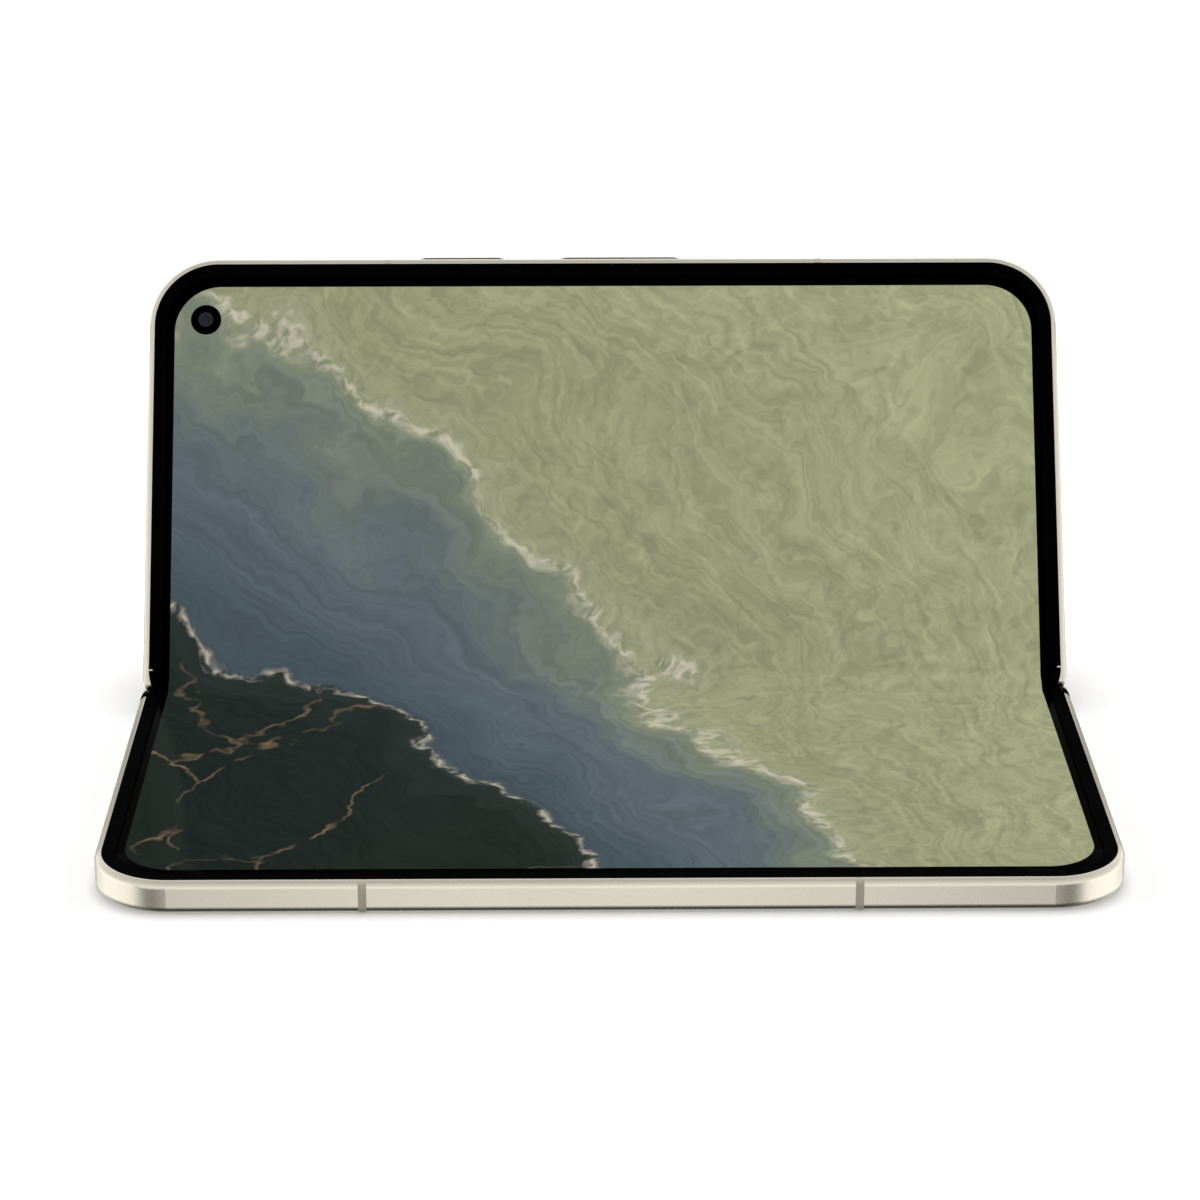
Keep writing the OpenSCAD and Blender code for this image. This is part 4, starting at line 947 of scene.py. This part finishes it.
studio = {
    "floorHalf": 4000.0,
    "floorColour": "#F4F4F4",
    # How white the floor turns to the eye, from the footprint's edge to liftReach metres away
    "floorLift": [(0.0, 0.125), (0.0045, 0.125), (0.035, 0.36), (0.33, 0.55), (1.0, 1.0)],
    "liftReach": 0.9,
    "skyColour": "#F7F7F7",
    "skyStrength": 0.32,
    # The room that metal and glass reflect, from straight down to straight up
    "wall": [(0.0, 0.04), (0.1, 0.17), (0.2, 0.48), (0.28, 0.9), (0.35, 1.0), (0.5, 0.81), (0.58, 0.7),
             (0.66, 0.58), (0.82, 0.52), (0.92, 0.46), (1.0, 0.36)],
    # Grey panels low in that room, from straight before the phone round to straight behind it
    "panels": [(0.0, 1.0), (0.022, 0.9), (0.036, 0.68), (0.045, 0.48), (0.072, 0.3), (0.106, 0.23),
               (0.15, 0.2), (0.203, 0.2), (0.235, 0.29), (0.275, 0.62), (0.32, 0.93), (0.45, 1.0)],
    "panelTop": (-0.2, 0.1),
    "backStart": (0.6, 0.93),
    "backStrength": (1.6, 2.05),
}


def whiteToEye(tree):
    # 1 for rays from the camera and for reflections and refractions, 0 for light that falls on things
    path = addNode(tree, "LightPath")
    seen = addNode(tree, "Math", {"operation": "MAXIMUM"},
                   {0: path.outputs["Is Camera Ray"], 1: path.outputs["Is Glossy Ray"]})
    return addNode(tree, "Math", {"operation": "MAXIMUM"}, {0: seen, 1: path.outputs["Is Transmission Ray"]})


def makeWorld():
    world = bpy.data.worlds.new("softStudio")
    bpy.context.scene.world = world
    world.use_nodes = True
    tree = world.node_tree
    tree.nodes.clear()
    aim = addNode(tree, "SeparateXYZ", links={0: addNode(tree, "TexCoord").outputs["Generated"]})
    height = addNode(tree, "MapRange", {"From Min": -1.0, "From Max": 1.0}, {"Value": aim.outputs["Z"]})
    wall = addNode(tree, "ValToRGB", {"stops": studio["wall"]}, {"Fac": height})
    ahead = addNode(tree, "Math", {"operation": "MULTIPLY", 1: -1.0}, {0: aim.outputs["Y"]})
    bearing = addNode(tree, "Math", {"operation": "ARCTAN2"}, {0: aim.outputs["X"], 1: ahead})
    sideways = addNode(tree, "Math", {"operation": "ABSOLUTE"}, {0: bearing})
    share = addNode(tree, "Math", {"operation": "DIVIDE", 1: math.pi}, {0: sideways})
    panels = addNode(tree, "ValToRGB", {"stops": studio["panels"]}, {"Fac": share})
    low, high = studio["panelTop"]
    above = addNode(tree, "MapRange", {"From Min": low, "From Max": high}, {"Value": aim.outputs["Z"]})
    panels = addNode(tree, "Mix", {**asColours, 7: "#FFFFFF"}, {0: above, 6: panels})
    room = addNode(tree, "Mix", asProduct, {6: wall, 7: panels})
    # Brighter behind the phone, for reflections alone; the camera sees plain white everywhere
    (near, far), (dim, strong) = studio["backStart"], studio["backStrength"]
    behind = addNode(tree, "MapRange", {"From Min": near, "From Max": far, "To Min": dim, "To Max": strong},
                     {"Value": aim.outputs["Y"]})
    cameraRay = addNode(tree, "LightPath").outputs["Is Camera Ray"]
    colour = addNode(tree, "Mix", {**asColours, 7: "#FFFFFF"}, {0: cameraRay, 6: room})
    strength = addNode(tree, "MapRange", {"To Max": 1.0}, {"Value": cameraRay, "To Min": behind})
    seen = addNode(tree, "Background", links={"Color": colour, "Strength": strength})
    sky = addNode(tree, "Background", {"Color": studio["skyColour"], "Strength": studio["skyStrength"]})
    both = addNode(tree, "MixShader", links={0: whiteToEye(tree), 1: sky, 2: seen})
    addNode(tree, "OutputWorld", links={"Surface": both})


def makeFloor():
    tree = newFinish("paleFloor", studio["floorColour"])
    diffuse = addNode(tree, "BsdfDiffuse", {"Color": studio["floorColour"]})
    # Away from the phone's footprint the floor turns white to the eye, so that it meets the backdrop without
    # an edge; only the shadow close to the phone stays
    spot = addNode(tree, "TexCoord").outputs["Object"]
    folded = addNode(tree, "VectorMath", {"operation": "ABSOLUTE"}, {0: spot})
    footprint = (phone["width"] / 2 * mm, foldY * mm, 0)
    past = addNode(tree, "VectorMath", {"operation": "SUBTRACT", 1: footprint}, {0: folded})
    outside = addNode(tree, "VectorMath", {"operation": "MAXIMUM", 1: (0, 0, 0)}, {0: past})
    away = addNode(tree, "VectorMath", {"operation": "LENGTH"}, {0: outside})
    share = addNode(tree, "Math", {"operation": "DIVIDE", 1: studio["liftReach"]}, {0: away})
    lift = addNode(tree, "ValToRGB", {"stops": studio["floorLift"]}, {"Fac": share})
    glow = addNode(tree, "Math", {"operation": "MULTIPLY"}, {0: whiteToEye(tree), 1: lift})
    white = addNode(tree, "Emission", {"Color": "#FFFFFF"}, {"Strength": glow})
    both = addNode(tree, "AddShader", links={0: diffuse, 1: white})
    addNode(tree, "OutputMaterial", links={"Surface": both})
    half = studio["floorHalf"]
    corners = [(-half, -half, 0), (half, -half, 0), (half, half, 0), (-half, half, 0)]
    floor = asPiece("floor", meshOf("floor", corners, [(0, 1, 2, 3)]), "paleFloor")
    floor.visible_glossy = False


cards = {
    "colour": "#B0B0A8",
    "corners": [(80, 66, -80), (175, 120, -80), (175, 120, 8), (100, 78, 62), (80, 66, 62), (210, 25, -80),
                (210, 25, 0), (175, 120, 0)],
    "faces": [(0, 1, 2, 3, 4), (1, 5, 6, 7)],
    # Where the two ends fade in and out, in metres from the middle plane
    "fadeIn": (0.08, 0.095),
    "fadeOut": (0.21, 0.165),
}


def cardFinish():
    # Matt grey card that only reflections see; its ends fade, so that the metal shows no hard edge of it
    tree = newFinish("greyCard", cards["colour"])
    across = addNode(tree, "SeparateXYZ", links={0: addNode(tree, "TexCoord").outputs["Object"]})
    reach = addNode(tree, "Math", {"operation": "ABSOLUTE"}, {0: across})
    fades = []
    for low, high in (cards["fadeIn"], cards["fadeOut"]):
        fades.append(addNode(tree, "MapRange", {"From Min": low, "From Max": high}, {"Value": reach}))
    there = addNode(tree, "Math", {"operation": "MULTIPLY"}, {0: fades[0], 1: fades[1]})
    grey = addNode(tree, "Emission", {"Color": cards["colour"], "Strength": 1.0})
    faded = addNode(tree, "MixShader", links={0: there, 1: addNode(tree, "BsdfTransparent"), 2: grey})
    addNode(tree, "OutputMaterial", links={"Surface": faded})


def lowCard(name, side):
    # A low grey card beside one half of the phone, for the metal's reflections alone
    corners = [(side * x, y, z) for x, y, z in cards["corners"]]
    card = asPiece(name, meshOf(name, corners, cards["faces"]), "greyCard")
    card.visible_camera = card.visible_diffuse = card.visible_shadow = card.visible_transmission = False


# Round soft lamps: where they hang, their width in metres and their power in watts
lamps = {
    "topLight": ((0, 0.3, 1.2), 0.9, 10.0),
    "leftLight": ((-1.0, -0.1, 0.7), 0.5, 1.6),
    "rightLight": ((1.0, -0.1, 0.7), 0.5, 1.6),
}
lampTarget = Vector((0, 0, 0.02))


def areaLight(name, spot, size, power):
    data = bpy.data.lights.new(name, "AREA")
    data.shape, data.size, data.energy = "DISK", size, power
    lamp = bpy.data.objects.new(name, data)
    lamp.location = spot
    lamp.rotation_euler = (lampTarget - Vector(spot)).to_track_quat("-Z", "Y").to_euler()
    lamp.visible_glossy = False
    bpy.context.scene.collection.objects.link(lamp)


# Worked out from the corners and edges of the phone in the photograph; metres, degrees and mm of lens
photoCamera = {
    "location": (-0.006158, -0.49288, 0.22743),
    "downward": 21.326,
    "rightward": 0.567,
    "lens": 102.71,
    "sensor": 36.0,
    "clip": (0.01, 20.0),
}


def makeCamera():
    data = bpy.data.cameras.new("photoCamera")
    data.sensor_width, data.lens = photoCamera["sensor"], photoCamera["lens"]
    data.clip_start, data.clip_end = photoCamera["clip"]
    camera = bpy.data.objects.new("photoCamera", data)
    camera.location = photoCamera["location"]
    camera.rotation_euler = (math.radians(90 - photoCamera["downward"]), 0.0,
                             math.radians(-photoCamera["rightward"]))
    bpy.context.scene.collection.objects.link(camera)
    bpy.context.scene.camera = camera


makeWorld()
makeFloor()
cardFinish()
lowCard("lowCardLeft", -1)
lowCard("lowCardRight", 1)
for name, (spot, size, power) in lamps.items():
    areaLight(name, spot, size, power)
makeCamera()
bpy.context.scene.view_settings.view_transform = "Standard"
print("studio: floor, reflecting cards, three soft lamps and the camera")
